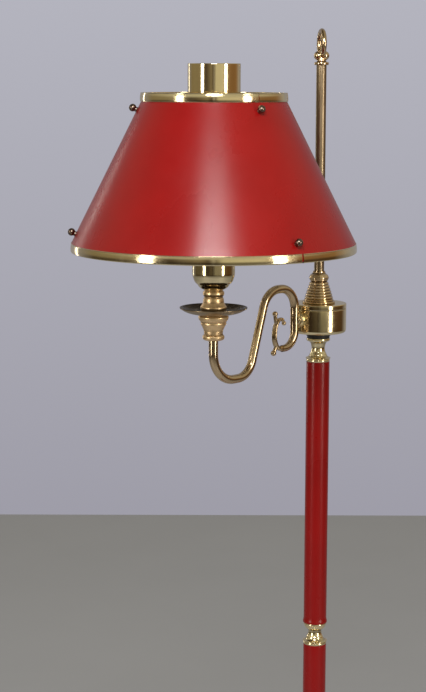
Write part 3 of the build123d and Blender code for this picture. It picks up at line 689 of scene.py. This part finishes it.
# ---- base ----
class LAMP_OT_base(bpy.types.Operator):
    """Spun red base cover, its brass rim band and the turned collar that takes the column"""

    bl_idname = "lamp.base"
    bl_label = "Base"

    def execute(self, context):
        band_r = reach("base_rim_band")
        low, top = foot("base_cover"), crown("base_cover")
        r, sheet = band_r - 2.4, 1.2
        lathe("base_cover_red", STAND, "red_lacquer", "lacquer", "base_cover", [
            (r, low), (r, 15.5), (r - 4.5, 19.6, 1.8), (112, 20.6), (109, 24.4, 1.0), (104, 25.4, 0.8),
            (52, 33, -3.5), (27, 45, -4.2), (22, top, 0.9), (PIPE_R, top), (PIPE_R, top - sheet),
            (21, top - sheet), (26.4, 45 - sheet, -0.9), (51, 33 - sheet, 4.2), (104 - sheet, 25.4 - sheet, 3.5),
            (108, 24.4 - sheet, -0.8), (111, 20.6 - sheet, -1.0), (r - 5.7, 19.6 - sheet),
            (r - sheet, 15, -1.8), (r - sheet, low),
        ], around=192)
        z, high = foot("base_rim_band"), crown("base_rim_band")
        lathe("base_band_brass", STAND, "polished_brass", "bright", "base_rim_band", [
            (r + CLEARANCE, z), (band_r - 1, z), (band_r, z + 1, 0.3), (band_r, high - 1.5),
            (band_r - 1.5, high, 0.4), (r + CLEARANCE, high),
        ], around=192)
        z, spigot = foot("base_collar"), reach("column_tube_lower") - 1.75
        seat = foot("column_tube_lower")
        lathe("base_collar_brass", STAND, "polished_brass", "turned_bright", "base_collar", [
            (PIPE_R, z), (23, z), (24.4, z + 2, 0.4), (23, z + 4, 0.6), (21.4, z + 4.6), (14.2, seat - 6, -3.4),
            (13.0, seat - 5), (14.2, seat - 3.4, 0.2), (14.2, seat - 1.4, 0.8), (13.2, seat, 0.2),
            (spigot, seat), (spigot, seat + SPIGOT), (PIPE_R, seat + SPIGOT),
        ])
        return {"FINISHED"}


# ---- column ----
def coupler_foot(z, spigot):
    """Outline of a coupler from its spigot in the tube below up to its waist."""
    return [
        (PIPE_R, z - SPIGOT), (spigot, z - SPIGOT), (spigot, z), (12.5, z), (12.7, z + 3.4, 0.7), (13.0, z + 3.5),
        (13.8, z + 3.9, 0.1), (13.8, z + 4.7, 0.3), (9.4, z + 9.2, -1.0), (7.5, z + 15.6, -0.5),
    ]


class LAMP_OT_column(bpy.types.Operator):
    """Three red tubes with rolled feet, and the turned brass between and above them"""

    bl_idname = "lamp.column"
    bl_label = "Column"

    def execute(self, context):
        lip = reach("column_tube_lower")
        tube_r = lip - 0.7
        spigot = tube_r - TUBE_WALL - CLEARANCE
        for level in ("lower", "middle", "upper"):
            z, top = foot(f"column_tube_{level}"), crown(f"column_tube_{level}")
            lathe(f"column_tube_{level}_red", STAND, "red_lacquer", "lacquer", f"column_tube_{level}", [
                (tube_r - TUBE_WALL, z), (lip - 0.4, z), (lip, z + 0.8, 0.1), (lip, z + 2.2),
                (tube_r, z + 6.5, -0.1), (tube_r, top), (tube_r - TUBE_WALL, top),
            ])
        for level in ("lower", "middle"):
            z, top = foot(f"coupler_{level}") + SPIGOT, crown(f"coupler_{level}") - SPIGOT
            body = coupler_foot(z, spigot) + [
                (7.9, z + 17.4, -0.1), (8.6, z + 17.9), (12.3, top - 2.8, 0.8), (12.9, top - 1.6, 0.2),
                (12.7, top, 0.2), (spigot, top), (spigot, top + SPIGOT), (PIPE_R, top + SPIGOT),
            ]
            lathe(f"coupler_{level}_brass", STAND, "polished_brass", "turned_bright", f"coupler_{level}", body,
                  soften=0.2)
        z, top = foot("top_collar") + SPIGOT, crown("top_collar")
        body = coupler_foot(z, spigot) + [
            (8.1, z + 19.4, -0.1), (12.2, top - 3.2, -1.0), (13.1, top - 2.4, 0.2), (13.3, top - 1.0, 0.2),
            (12.9, top, 0.1), (PIPE_R, top),
        ]
        lathe("top_collar_brass", STAND, "polished_brass", "turned_bright", "top_collar", body, soften=0.2)
        return {"FINISHED"}


# ---- hub ----
class LAMP_OT_hub(bpy.types.Operator):
    """Swivel hub: black friction washer, brass drum and lid, and the boss that carries the arm"""

    bl_idname = "lamp.hub"
    bl_label = "Hub"

    def execute(self, context):
        bore = reach("pivot_bush") + CLEARANCE
        z, top, r = span("friction_washer")
        lathe("friction_washer_black", STAND, "black_fibre", "fibre", "friction_washer", [
            (bore, z), (12.6, z), (12.6, z + 2.2), (r, z + 2.7, 0.1), (r, top - 0.3), (r - 0.3, top), (bore, top),
        ])
        z, top, r = span("hub_housing")
        lathe("hub_drum_brass", ARM, "polished_brass", "bright", "hub_housing", [
            (bore, z), (r - 3.8, z), (r, z + 3.6, 1.1), (r, top - 0.5), (r - 0.5, top, 0.1),
            (r - 2, top), (r - 2, z + 2.5), (bore, z + 2.5),
        ], around=160)
        z, top, r = foot("hub_lid") + 3, crown("hub_lid"), reach("hub_lid")
        lathe("hub_lid_brass", ARM, "polished_brass", "turned_bright", "hub_lid", [
            (r - 3.6, z - 3), (r - 2.1, z - 3), (r - 2.1, z), (r - 0.5, z), (r, z + 0.5, 0.1), (r, top - 1.0),
            (r - 1.0, top, 0.28), (20.4, top), (bore, top), (bore, top - 2), (r - 3.6, top - 2),
        ], around=160)
        low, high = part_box("arm_boss")
        centre, tip = (low.z + high.z) / 2 / MM, -low.y / MM
        wall = reach("hub_housing")
        boss = [
            (0.4, wall - 1.2), (7.9, wall - 1.2), (7.9, tip - 7.4), (8.5, tip - 7.0, 0.1), (8.5, tip - 4.6),
            (7.9, tip - 4.2, 0.1), (7.9, tip - 2.6), (6.4, tip - 2.2), (6.2, tip), (0.4, tip),
        ]
        lay_down = Matrix.Translation((0, 0, centre)) @ Matrix.Rotation(math.radians(90), 4, "X")
        stand_in("arm_boss_brass", ARM, "aged_brass", [placed(turned(boss, around=64), lay_down)], "bright",
                 "arm_boss")
        return {"FINISHED"}


# ---- cone and finial ----
class LAMP_OT_finial(bpy.types.Operator):
    """Beehive cone on the hub, the tall rod and the ring with its two-lobed knuckle"""

    bl_idname = "lamp.finial"
    bl_label = "Cone, rod and ring"

    def execute(self, context):
        z, r, bore = foot("stepped_cone"), reach("stepped_cone"), PIPE_R + 0.7
        foot_r, foot_h, head_r, head_h, courses = 15.2, 4.6, 9.4, 23.4, 6
        cone = [
            (bore, z), (r - 1.7, z), (r - 1.1, z + 0.9, 0.2), (r - 1.6, z + 2.0, 0.25), (16.2, z + 2.3),
            (16.5, z + 3.2, 0.1), (16.0, z + 4.2, 0.3), (foot_r, z + foot_h),
        ]
        for course in range(1, courses + 1):
            share = course / courses
            height = z + foot_h + (head_h - foot_h) * share
            next_r = foot_r + (head_r - foot_r) * share ** 1.1
            cone += [(next_r + 0.6, height - 0.35, 0.75), (next_r, height, 0.05)]
        cone += [
            (9.3, z + 24.6, -0.1), (10.5, z + 26.6, 0.5), (10.6, z + 29.6, 0.6), (9.0, z + 31.8, 0.3),
            (8.3, z + 32.2), (7.0, z + 35.5, -0.5), (bore, z + 35.5),
        ]
        lathe("beehive_cone_brass", STAND, "aged_brass", "browned", "stepped_cone", cone, soften=0.12)
        z, top, r = span("finial_rod")
        lathe("finial_rod_brass", STAND, "aged_brass", "rod", "finial_rod",
              [(r - 1.4, z), (r, z), (r, top), (r - 1.4, top)], around=64)
        knuckle = [
            (0.3, top - 8), (4.1, top - 8), (4.1, top), (7.3, top), (8.1, top + 1.0, 0.2), (8.1, top + 2.3),
            (7.0, top + 3.4, 0.2), (5.0, top + 4.2, -0.2), (4.6, top + 8), (0.3, top + 8),
        ]
        ring_low, ring_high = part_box("finial_eye")
        eye_turn = Matrix.Rotation(context.scene.lamp_form.eye_turn, 4, "Z")
        lobes = [placed(ball((side * 3.4, 0, top + 10.2), 5.2), eye_turn) for side in (-1, 1)]
        stand_in("finial_knuckle_brass", STAND, "aged_brass", [turned(knuckle, around=72), *lobes], "turned_old",
                 "finial_knuckle")
        wire = 2.8
        mean = (ring_high.z - ring_low.z) / 2 / MM - wire
        centre = (ring_high.z + ring_low.z) / 2 / MM
        loop = np.linspace(0, 2 * np.pi, 97)[:-1][:, None]
        around = full_turn(28)[None, :]
        out = mean + wire * np.cos(around)
        grid = np.stack([wire * np.sin(around) + 0 * loop, out * np.cos(loop), centre + out * np.sin(loop)], axis=-1)
        stand_in("finial_ring_brass", STAND, "aged_brass", [placed((grid, True, True, 0.4), eye_turn)], "old",
                 "finial_eye")
        return {"FINISHED"}


# ---- arm ----
def arm_route():
    """Corners and bend radii of the arm from the lamp to its curl, as (y, z), from the frame's own box."""
    low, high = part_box("arm_tube")
    stem = -41.0
    tube_r = 4.8
    bottom, crest = low.z / MM + tube_r, high.z / MM - tube_r
    curl = bottom + 24.7
    corners = [
        (LAMP_Y, foot("lower_vase") + 9.0), (LAMP_Y, bottom), (-115.4, bottom), (-87.0, crest),
        (stem, crest), (stem, curl), (-62.0, curl),
    ]
    return corners, [30.8, 24.0, 25.1, 23.4, 17.5]


class LAMP_OT_arm(bpy.types.Operator):
    """Swan-neck tube that thins towards its curl, and the cast scroll on the curl's end"""

    bl_idname = "lamp.arm"
    bl_label = "Arm"

    def execute(self, context):
        form = context.scene.lamp_form
        path = filleted(*arm_route())
        travel = np.concatenate([[0], np.cumsum(np.linalg.norm(np.diff(path, axis=0), axis=1))])
        thick, thin = form.arm_radius_lamp / MM, form.arm_radius_hub / MM
        waist = thick - 0.6
        radius = np.interp(travel / travel[-1], [0, 0.2, 0.5, 0.68, 0.8, 0.89, 1],
                           [thick, waist + 0.2, waist, waist + 0.1, waist + 0.3, waist + 0.2, thin])
        outer = along(path, radius, radius, sides=48)[0]
        inner = along(path, 2.8, 2.8, sides=48)[0][::-1]
        tube = (np.concatenate([outer, inner]), True, True, 0.5)
        stand_in("swan_neck_tube", ARM, "aged_brass", [tube], "old", "arm_tube")
        z = arm_route()[0][-1][1]
        spine = curve_through([
            (-60.6, z), (-66.0, z + 0.5), (-71.0, z + 3.8), (-73.8, z + 10.4), (-74.2, z + 18.0), (-72.4, z + 26.2),
            (-67.8, z + 31.9), (-62.5, z + 32.8), (-59.0, z + 28.6),
        ], 110)
        t = np.linspace(0, 1, len(spine))
        across = np.interp(t, [0, 0.2, 0.5, 0.75, 0.92, 1], [2.9, 3.4, 3.4, 2.9, 2.1, 1.4])
        deep = np.interp(t, [0, 0.2, 0.5, 0.75, 0.92, 1], [2.9, 2.3, 1.9, 1.9, 1.8, 1.3])
        strip = closed_ends(along(spine, across, deep, 2.3, hollow=0.45))
        parts = [strip]
        for start, middle, end in (((-71.0, z + 27.6), (-72.5, z + 32.6), (-73.2, z + 38.4)),
                                   ((-71.2, z + 3.4), (-73.4, z - 0.2), (-75.0, z - 3.0))):
            stalk = curve_through([start, middle, end], 16)
            parts.append(closed_ends(along(stalk, 2.1, 2.1, 2.0, 24, hollow=0.7)))
        for y, height, radius, squash in ((-75.6, z - 3.6, 3.1, 1.0), (-58.8, z + 28.0, 2.5, 1.0),
                                          (-73.5, z + 39.6, 3.1, 0.94)):
            parts.append(ball((0, y, height), radius, squash))
        stand_in("curl_scroll", ARM, "aged_brass", parts, "old", "arm_scroll")
        return {"FINISHED"}


# ---- vases, dish and cup ----
class LAMP_OT_vases(bpy.types.Operator):
    """Satin brass vases with the dish between them, its upward faces darkened as painted shade, and the polished cup
    that hides the lamp holder
    """

    bl_idname = "lamp.vases"
    bl_label = "Vases, dish and cup"

    def execute(self, context):
        z = foot("lower_vase")
        lathe("lower_vase_brass", ARM, "satin_brass", "satin", "lower_vase", [
            (5.3, z), (8.6, z), (11.6, z + 3.0, 0.9), (10.6, z + 5.6, 0.4), (10.0, z + 6.4), (10.1, z + 8.4, -0.1),
            (10.6, z + 11.6, -0.15), (11.0, z + 12.3, 0.1), (13.1, z + 16.4, -0.1), (13.4, z + 19.0, 0.3),
            (14.2, z + 20.6, -0.05), (15.8, z + 23.6, 0.35), (15.5, z + 26.0, 0.5), (13.6, z + 28.2, 0.2),
            (5.1, z + 28.2), (5.3, z + 9.4),
        ], LAMP_Y, soften=0.2)
        z, r = foot("drip_dish"), reach("drip_dish")
        dish = [
            (5.1, z), (17, z), (r - 1.4, z + 4.9, 1.6), (r, z + 6.2, 0.3), (r - 0.7, z + 6.9, 0.3),
            (r - 2.0, z + 6.2, 0.15), (17, z + 1, -1.6), (5.1, z + 1),
        ]
        piece = add_piece("drip_dish_bronze", ARM, "bronze", [turned(dish, LAMP_Y, 144, 0.15)],
                          "dish", "dish_inside_painted_shade")
        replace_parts(piece, "drip_dish")
        # Faces that look up take the darkened brass: painted shade inside the dish.
        second_finish(piece, lambda centres, normals: normals[:, 2] > 0.15)
        z, top = foot("upper_vase"), crown("upper_vase")
        lathe("upper_vase_brass", ARM, "satin_brass", "satin", "upper_vase", [
            (5.1, z), (13.1, z), (13.9, z + 0.9, 0.25), (13.3, z + 2.0, 0.2), (13.0, z + 2.4), (13.8, z + 4.4, 0.15),
            (13.1, z + 7.4, 0.4), (11.0, z + 11.2, -0.1), (10.8, z + 14.0, 0.15), (9.9, z + 16.4, 0.25),
            (9.8, z + 17.4), (10.8, z + 18.6, 0.2), (11.2, z + 20.8, 0.3), (10.5, z + 22.8, 0.3), (9.7, z + 23.8),
            (10.2, top, -0.15), (5.1, top),
        ], LAMP_Y, soften=0.18)
        z, top, r = span("socket_cup")
        r -= 0.55
        lathe("holder_cup_brass", ARM, "polished_brass", "bright", "socket_cup", [
            (5.1, z), (10.9, z), (11.4, z + 0.2), (17.0, z + 5.4, 0.7), (21.3, z + 11.8, 0.8), (r, z + 18, 0.35),
            (r, top - 1.2), (r + 0.5, top - 0.6, 0.1), (r, top, 0.2), (r - 1, top), (r - 1, z + 18),
            (20.4, z + 12.2, -0.3), (16.2, z + 6.2, -0.7), (10.8, z + 1, -0.6), (5.1, z + 1),
        ], LAMP_Y, 144)
        return {"FINISHED"}


# ---- shade ----
def cone_wall():
    """Outside radii and heights of the shade's slope, its foot first, in millimetres."""
    low, high = foot("shade_cone") + HEM, crown("shade_cone") - HEM
    low_r = reach("shade_cone")
    high_r = reach("shade_band_top") - (reach("shade_band_low") - low_r)
    return low, high, low_r, high_r


class LAMP_OT_shade(bpy.types.Operator):
    """Sheet-metal cone, red outside and cream inside"""

    bl_idname = "lamp.shade"
    bl_label = "Shade"

    def execute(self, context):
        low, high, low_r, high_r = cone_wall()
        wall = [
            (low_r - SHEET, low - HEM), (low_r, low - HEM), (low_r, low), (high_r, high), (high_r, high + HEM),
            (high_r - SHEET, high + HEM), (high_r - SHEET, high), (low_r - SHEET, low),
        ]
        part = turned(wall, LAMP_Y, 224, 0.2)
        piece = add_piece("shade_cone_red", ARM, "red_lacquer", [part], "lacquer", "lining")
        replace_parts(piece, "shade_cone")

        def faces_inwards(centres, normals):
            outward = (centres - np.array([0, LAMP_Y * MM, 0])) * (1, 1, 0)
            return (outward * normals).sum(axis=1) < 0

        second_finish(piece, faces_inwards)
        return {"FINISHED"}


class LAMP_OT_bands(bpy.types.Operator):
    """Brass strips bent round the shade's foot and top, whose ends almost meet, and the chimney tube"""

    bl_idname = "lamp.bands"
    bl_label = "Bands and chimney"

    def execute(self, context):
        form = context.scene.lamp_form
        strip = reach("shade_band_low") - reach("shade_cone") - CLEARANCE
        for name, level, gap, lip_below in (("foot", "low", form.low_seam_gap, True),
                                            ("top", "top", form.top_seam_gap, False)):
            node = f"shade_band_{level}"
            low, high, r = span(node)
            inner, roll, lip = r - strip, r - 1.0, 1.0
            deep = inner - 2.4
            if lip_below:
                first, last = deep, [(inner, high), (inner, low + lip), (deep, low + lip)]
            else:
                first, last = inner, [(deep, high), (deep, high - lip), (inner, high - lip)]
            line = [(first, low), (roll, low), (r - 0.2, low + 0.9, 0.2), (r - 0.8, high - 0.8, 0.35),
                    (roll, high, 0.3), *last]
            half = gap / MM / 2 / r
            depth = form.band_ripple / MM

            def ripple(angle, depth=depth):
                """Slow waves inwards: depth (sin(7a + 1.1) + 0.8 sin 11a - 1.8) / 4."""
                return depth * (np.sin(7 * angle + 1.1) + 0.8 * np.sin(11 * angle) - 1.8) / 4

            part = swept_round(line, LAMP_Y, form.seam_turn + half, form.seam_turn + 2 * np.pi - half, ripple)
            stand_in(f"shade_band_{name}_brass", ARM, "polished_brass", [part], "bright", node)
        z, top, r = span("chimney")
        lathe("chimney_brass", ARM, "polished_brass", "bright", "chimney",
              [(r - 1, z), (r, z), (r, top - 0.5), (r - 0.5, top, 0.1), (r - 1, top)], LAMP_Y, 160, 0.15)
        return {"FINISHED"}


class LAMP_OT_ball_nuts(bpy.types.Operator):
    """Six dark ball nuts on the ends of the wire legs"""

    bl_idname = "lamp.ball_nuts"
    bl_label = "Ball nuts"

    def execute(self, context):
        low, high, low_r, high_r = cone_wall()
        slope = (low_r - high_r) / (high - low)
        radius, out, legs = 4.0, 4.9, 3
        nut_low, nut_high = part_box("ball_nuts")
        tilt = math.atan(slope)
        rise = out * math.sin(tilt)
        heights = (nut_low.z / MM + radius - rise, nut_high.z / MM - radius - rise)
        parts = []
        for height in heights:
            wall_r = low_r - slope * (height - low)
            for leg in range(legs):
                turn = context.scene.lamp_form.leg_turn + leg * 2 * math.pi / legs
                spot = Matrix.Translation((0, LAMP_Y, 0)) @ Matrix.Rotation(turn, 4, "Z")
                seat = spot @ Matrix.Translation((0, -wall_r, height)) @ Matrix.Rotation(math.pi / 2 - tilt, 4, "X")
                neck = turned([(0.2, 0.15), (2.5, 0.15), (2.7, 0.5, 0.05), (2.3, 2.4), (0.2, 2.4)], 0, 28, 0.1)
                parts += [placed(ball((0, 0, out), radius, 0.96, 36), seat), placed(neck, seat)]
        stand_in("leg_ball_nuts", ARM, "bronze", parts, "bronze", "ball_nuts")
        return {"FINISHED"}


# ---- what stays hidden or half hidden ----
class LAMP_OT_inner_parts(bpy.types.Operator):
    """Finishes of the frame's own parts: felt, weight, tie rod, lamp holder, bulb, spiders and leads"""

    bl_idname = "lamp.inner_parts"
    bl_label = "Inner parts"

    def execute(self, context):
        finishes = {
            "felt": ["base_felt"],
            "iron": ["base_weight"],
            "fibre": ["inlet_bush"],
            "zinc": ["tie_washer", "tie_nut", "tie_pipe", "stop_pin", "boss_nut", "nipple", "shade_spider",
                     "chimney_spider"],
            "machined": ["pivot_bush", "threaded_shell", "centre_contact", "bulb_cap"],
            "bakelite": ["lamp_holder", "holder_ring"],
            "sheath": ["arm_lead"],
            "terminal": ["terminal_block"],
            "opal": ["bulb_glass"],
        }
        for finish, nodes in finishes.items():
            for node in nodes:
                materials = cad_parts[node].data.materials
                materials.clear()
                materials.append(finish_of(finish))
        return {"FINISHED"}


# ---- stage ----
def soft_box(name, spot, target, width, height, power, colour=(1, 1, 1)):
    """Area light that faces a point and isn't seen by the camera."""
    light = bpy.data.lights.new(name, "AREA")
    light.shape = "RECTANGLE"
    light.size, light.size_y, light.energy, light.color = width, height, power, colour
    box = new_object(name, light)
    box.location = spot
    box.rotation_euler = (Vector(target) - Vector(spot)).to_track_quat("-Z", "Y").to_euler()
    box.visible_camera = False
    return box


def backdrop_world(turn):
    """Plain backdrop for the camera, and a dim studio for other rays: pale ahead, dark behind."""
    world = bpy.data.worlds.new("studio")
    bpy.context.scene.world = world
    world.use_nodes = True
    tree = world.node_tree
    tree.nodes.clear()
    direction = add(tree, "TexCoord", {}).outputs["Generated"]
    height = upward(tree, direction)
    backdrop = blend(tree, height, -0.24, 0.04, (0.345, 0.338, 0.392), (0.455, 0.455, 0.515))
    axes = ((-math.sin(turn), math.cos(turn), 0.0), (math.cos(turn), math.sin(turn), 0.0))
    facing, side = (add(tree, "VectorMath", {0: direction, 1: axis}, operation="DOT_PRODUCT").outputs["Value"]
                    for axis in axes)
    bands = ((0.0, (0.24, 0.20, 0.12)), (0.07, (0.20, 0.16, 0.09)), (0.2, (0.05, 0.032, 0.018)),
             (0.40, (0.22, 0.18, 0.11)), (0.475, (0.06, 0.04, 0.022)), (0.495, (0.50, 0.47, 0.38)),
             (0.515, (0.10, 0.08, 0.05)), (0.56, (0.56, 0.52, 0.37)), (0.80, (0.58, 0.53, 0.38)),
             (0.92, (0.28, 0.17, 0.08)), (1.0, (0.22, 0.12, 0.05)))
    ramp = add(tree, "ValToRGB", {0: rescale(tree, side, -1, 1, 0, 1)})
    elements = ramp.color_ramp.elements
    for index, (spot, colour) in enumerate(bands):
        stop = elements[index] if index < 2 else elements.new(spot)
        stop.position, stop.color = spot, (*colour, 1)
    across = ramp.outputs[0]
    lower = mix(tree, 0.24, (0.012, 0.007, 0.004), across)
    level = blend(tree, height, -0.12, -0.02, lower, across)
    cream = blend(tree, height, 0.12, 0.30, level, (0.46, 0.43, 0.33))
    ceiling = mix(tree, 0.7, (0.03, 0.028, 0.026), across)
    room = blend(tree, height, 0.55, 0.70, cream, ceiling)
    around = blend(tree, facing, 0.35, 0.8, room, (0.30, 0.29, 0.30))
    floor = mix(tree, rescale(tree, height, -0.45, -0.2, 1, 0), around, (0.075, 0.06, 0.045))
    seen = add(tree, "LightPath", {}).outputs["Is Camera Ray"]
    light = add(tree, "Background", {"Color": mix(tree, seen, floor, backdrop)})
    add(tree, "OutputWorld", {"Surface": light.outputs[0]})


def floor_finish(colour):
    """Plain pale floor, faintly clouded, clear when seen from underneath."""
    material, tree, shader = new_material("plain_floor", Roughness=0.65)
    both = plus(tree, times(tree, noise(tree, 1.3, 4, 0.6), 0.8), times(tree, noise(tree, 160.0, 3, 0.6), 0.2))
    feed(shader, {"Base Color": blend(tree, both, 0.3, 0.7, tinted(colour, 0.96), tinted(colour, 1.04))})
    clear = add(tree, "BsdfTransparent", {}).outputs[0]
    back = add(tree, "NewGeometry", {}).outputs["Backfacing"]
    shown = add(tree, "MixShader", {0: back, 1: shader.outputs[0], 2: clear}).outputs[0]
    feed(tree.nodes["Material Output"], {"Surface": shown})
    return material


class LAMP_OT_stage(bpy.types.Operator):
    """Floor, backdrop, soft lights and camera"""

    bl_idname = "lamp.stage"
    bl_label = "Stage"

    def execute(self, context):
        scene, stage = context.scene, context.scene.lamp_stage
        turn = stage.turn
        ahead = Vector((-math.sin(turn), math.cos(turn), 0))
        right = Vector((math.cos(turn), math.sin(turn), 0))
        up = Vector((0, 0, 1))
        half = 3.44
        corners = [right * x * half + ahead * y * half for x, y in ((-1, -1), (1, -1), (1, 1), (-1, 1))]
        mesh = bpy.data.meshes.new("floor")
        mesh.from_pydata([tuple(corner) for corner in corners], [], [(0, 1, 2, 3)])
        mesh.materials.append(floor_finish(stage.floor_colour))
        new_object("floor", mesh)
        backdrop_world(turn)

        head = Vector((0, LAMP_Y * MM, 1.25))
        side, distance = math.radians(52), 2.5
        for name, sign in (("left_strip_box", -1), ("right_strip_box", 1)):
            spot = head + (-ahead * math.cos(side) + right * sign * math.sin(side)) * distance + up * 0.1
            soft_box(name, spot, head + up * 0.1, 0.42, 1.5, stage.strip_power, (1, 0.95, 0.86))
        beside = math.radians(41)
        spot = head + (ahead * math.cos(beside) - right * math.sin(beside)) * 2.5
        soft_box("left_edge_box", spot, head, 0.10, 1.4, stage.edge_power, (1, 0.95, 0.86))
        tilt = math.radians(33)
        spot = head + (-ahead * math.cos(tilt) + up * math.sin(tilt)) * 1.1
        soft_box("overhead_box", spot, head, 0.42, 0.35, stage.overhead_power)
        fill = soft_box("fill", head + (-ahead * 2.0 - right * 0.5 + up * 1.3), head - up * 0.3, 2.0, 1.6,
                        stage.fill_power)
        wash = soft_box("floor_wash", ahead * 2.4 + up * 3.4, ahead * 2.4, 4.5, 3.6, stage.wash_power)
        for light in (fill, wash):
            light.visible_glossy = False

        camera = new_object("camera", bpy.data.cameras.new("camera"))
        camera.data.sensor_width = 36
        camera.data.lens = 92.3
        pitch, roll = math.radians(8.68), math.radians(0.16)
        spot = -ahead * 1.9778 - right * 0.1186 + up * 1.363
        view = Matrix.Rotation(turn, 4, "Z") @ Matrix.Rotation(math.radians(90) - pitch, 4, "X")
        camera.matrix_world = Matrix.Translation(spot) @ view @ Matrix.Rotation(roll, 4, "Z")
        scene.camera = camera
        scene.view_settings.view_transform = "Standard"
        scene.view_settings.look = "None"
        scene.view_settings.exposure = 0
        scene.view_settings.gamma = 1
        return {"FINISHED"}


# ---- add-on ----
OPERATORS = (
    LAMP_OT_base, LAMP_OT_column, LAMP_OT_hub, LAMP_OT_finial, LAMP_OT_arm, LAMP_OT_vases,
    LAMP_OT_shade, LAMP_OT_bands, LAMP_OT_ball_nuts, LAMP_OT_inner_parts, LAMP_OT_stage,
)
SETTINGS = (("lamp_form", LampForm), ("lamp_finish", LampFinish), ("lamp_stage", LampStage))


class LAMP_PT_panel(bpy.types.Panel):
    """Buttons and settings for the lamp"""

    bl_label = "Pharmacy floor lamp"
    bl_idname = "LAMP_PT_panel"
    bl_space_type = "VIEW_3D"
    bl_region_type = "UI"
    bl_category = "Lamp"

    def draw(self, context):
        for name, group in SETTINGS:
            box = self.layout.box()
            for field in group.__annotations__:
                box.prop(getattr(context.scene, name), field)
        for operator in OPERATORS:
            self.layout.operator(operator.bl_idname)


def register():
    for item in (*(group for name, group in SETTINGS), *OPERATORS, LAMP_PT_panel):
        bpy.utils.register_class(item)
    for name, group in SETTINGS:
        setattr(bpy.types.Scene, name, PointerProperty(type=group))


def unregister():
    for name, group in SETTINGS:
        delattr(bpy.types.Scene, name)
    for item in (LAMP_PT_panel, *OPERATORS, *(group for name, group in SETTINGS)):
        bpy.utils.unregister_class(item)


def main():
    register()
    for operator in OPERATORS:
        getattr(bpy.ops.lamp, operator.bl_idname.split(".")[1])()
    bpy.context.view_layer.update()


if __name__ == "__main__":
    main()
